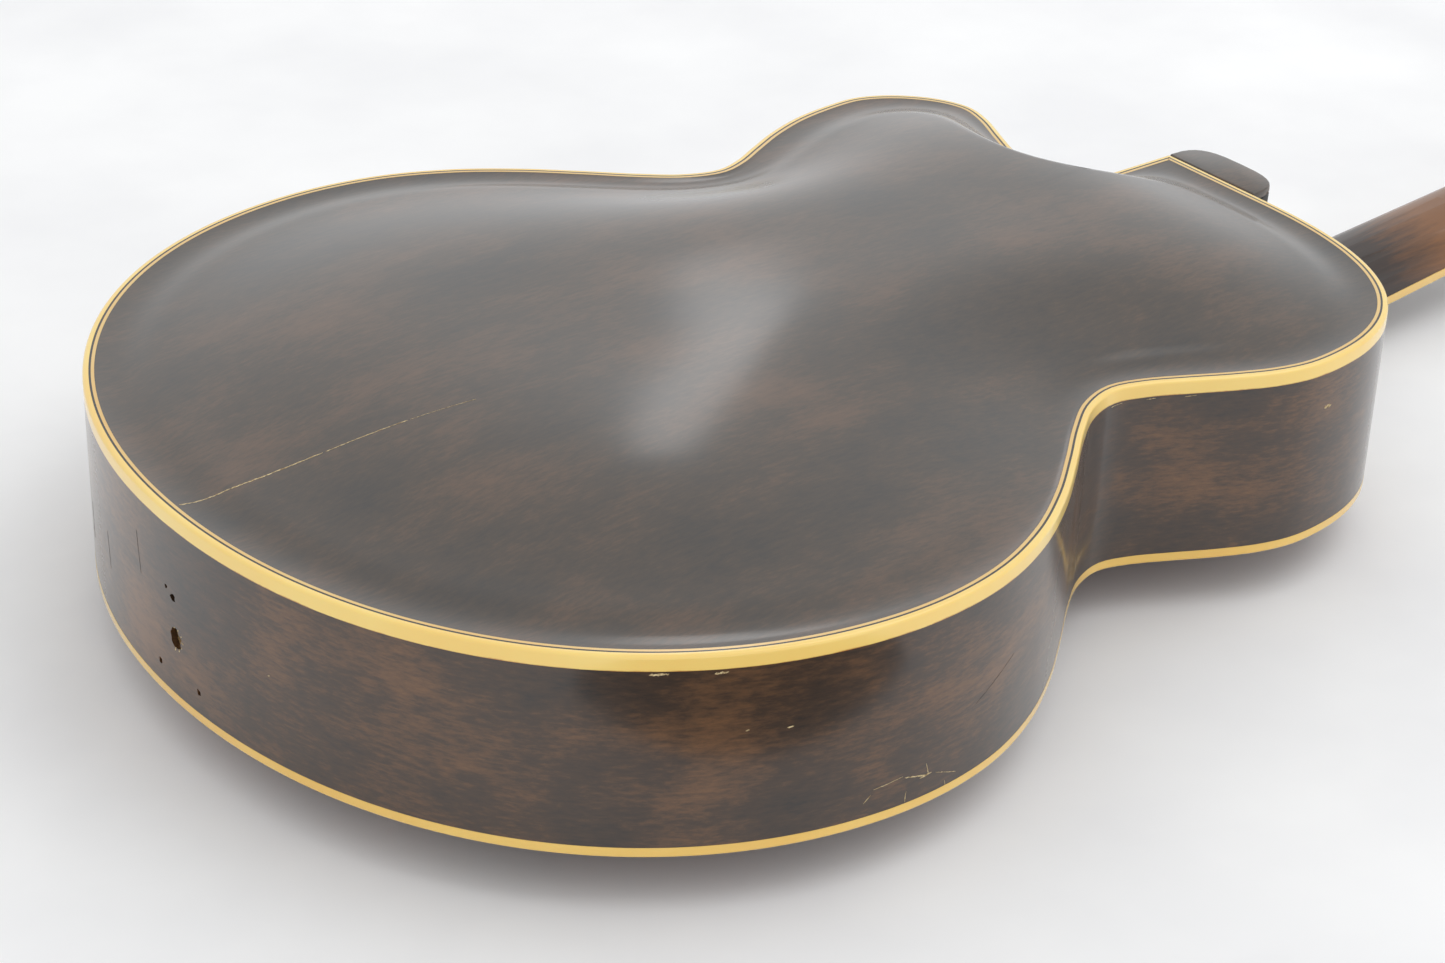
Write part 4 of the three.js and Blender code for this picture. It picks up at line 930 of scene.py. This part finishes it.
nothing_selected()
bpy.ops.mesh.primitive_cylinder_add(vertices=2 * GEAR_TEETH * 2, radius=6, depth=5)
gear = bpy.context.object
for vertex in gear.data.vertices:
    angle = math.atan2(vertex.co.y, vertex.co.x) * GEAR_TEETH / (2 * math.pi) + 0.25
    if angle % 1 > 0.5:
        vertex.co.x *= 0.88
        vertex.co.y *= 0.88
gear.data.transform(Matrix.Translation((0, 0, 1.2 + 0.3 + 2.5)))
nothing_selected()
bpy.ops.mesh.primitive_cylinder_add(vertices=28, radius=3, depth=35)
shaft = bpy.context.object
shaft.data.transform(Matrix.Translation((0, 0, 5.7 - 17.5)))
first_post = joined([dress(shaft, nickel), dress(gear, nickel)], "post_pattern")

for number in range(1, 7):
    post_joint = joints["post_%d_turn" % number]
    knob_joint = joints["knob_%d_turn" % number]
    up = Vector(post_joint["axis"]).normalized()
    out = Vector(knob_joint["axis"]).normalized() * (-1 if number <= 3 else 1)
    side_way = out.cross(up)
    turn = Matrix((side_way, out, up)).transposed().to_4x4()
    for pattern, joint, kind in ((first_knob, knob_joint, "knob"), (first_post, post_joint, "post")):
        piece = bpy.data.objects.new("tuner_%s_finished_%d" % (kind, number), pattern.data.copy())
        bpy.context.scene.collection.objects.link(piece)
        piece.data.transform(Matrix.Translation(joint["pos_m"]) @ turn @ Matrix.Diagonal((MM, MM, MM, 1)))
        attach(piece, "%s_%d" % (kind, number))
        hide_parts("tuner_%s_%d" % (kind, number))
for pattern in (first_knob, first_post):
    bpy.data.objects.remove(pattern)

# ------------------------------------------------------------------ inside the box
# Spruce blocks, linings and tone bars, planed and left bare, and the steel rod in the neck.
bare_spruce, tree, shader = new_material("bare_planed_spruce", Roughness=0.75)
place = put(tree, "TexCoord", {}).outputs["Object"]
rings = put(tree, "Mapping", {"Vector": place, "Scale": (20, 500, 500)}).outputs["Vector"]
figure = put(tree, "TexNoise", {"Vector": rings, "Scale": 1.0, "Detail": 3.0}).outputs["Fac"]
tree.links.new(put(tree, "ValToRGB", {"Fac": figure}, stops=((0.35, "#a07c4f"), (0.65, "#c9a878"))).outputs["Color"], shader.inputs["Base Color"])
for name, node in frame["nodes"].items():
    if not node.hide_render and name.startswith(("lining", "tone_bar", "neck_block", "tail_block")):
        dress(node, bare_spruce)
for name in ("truss_rod", "truss_rod_nut"):
    dress(frame["nodes"][name], nickel)
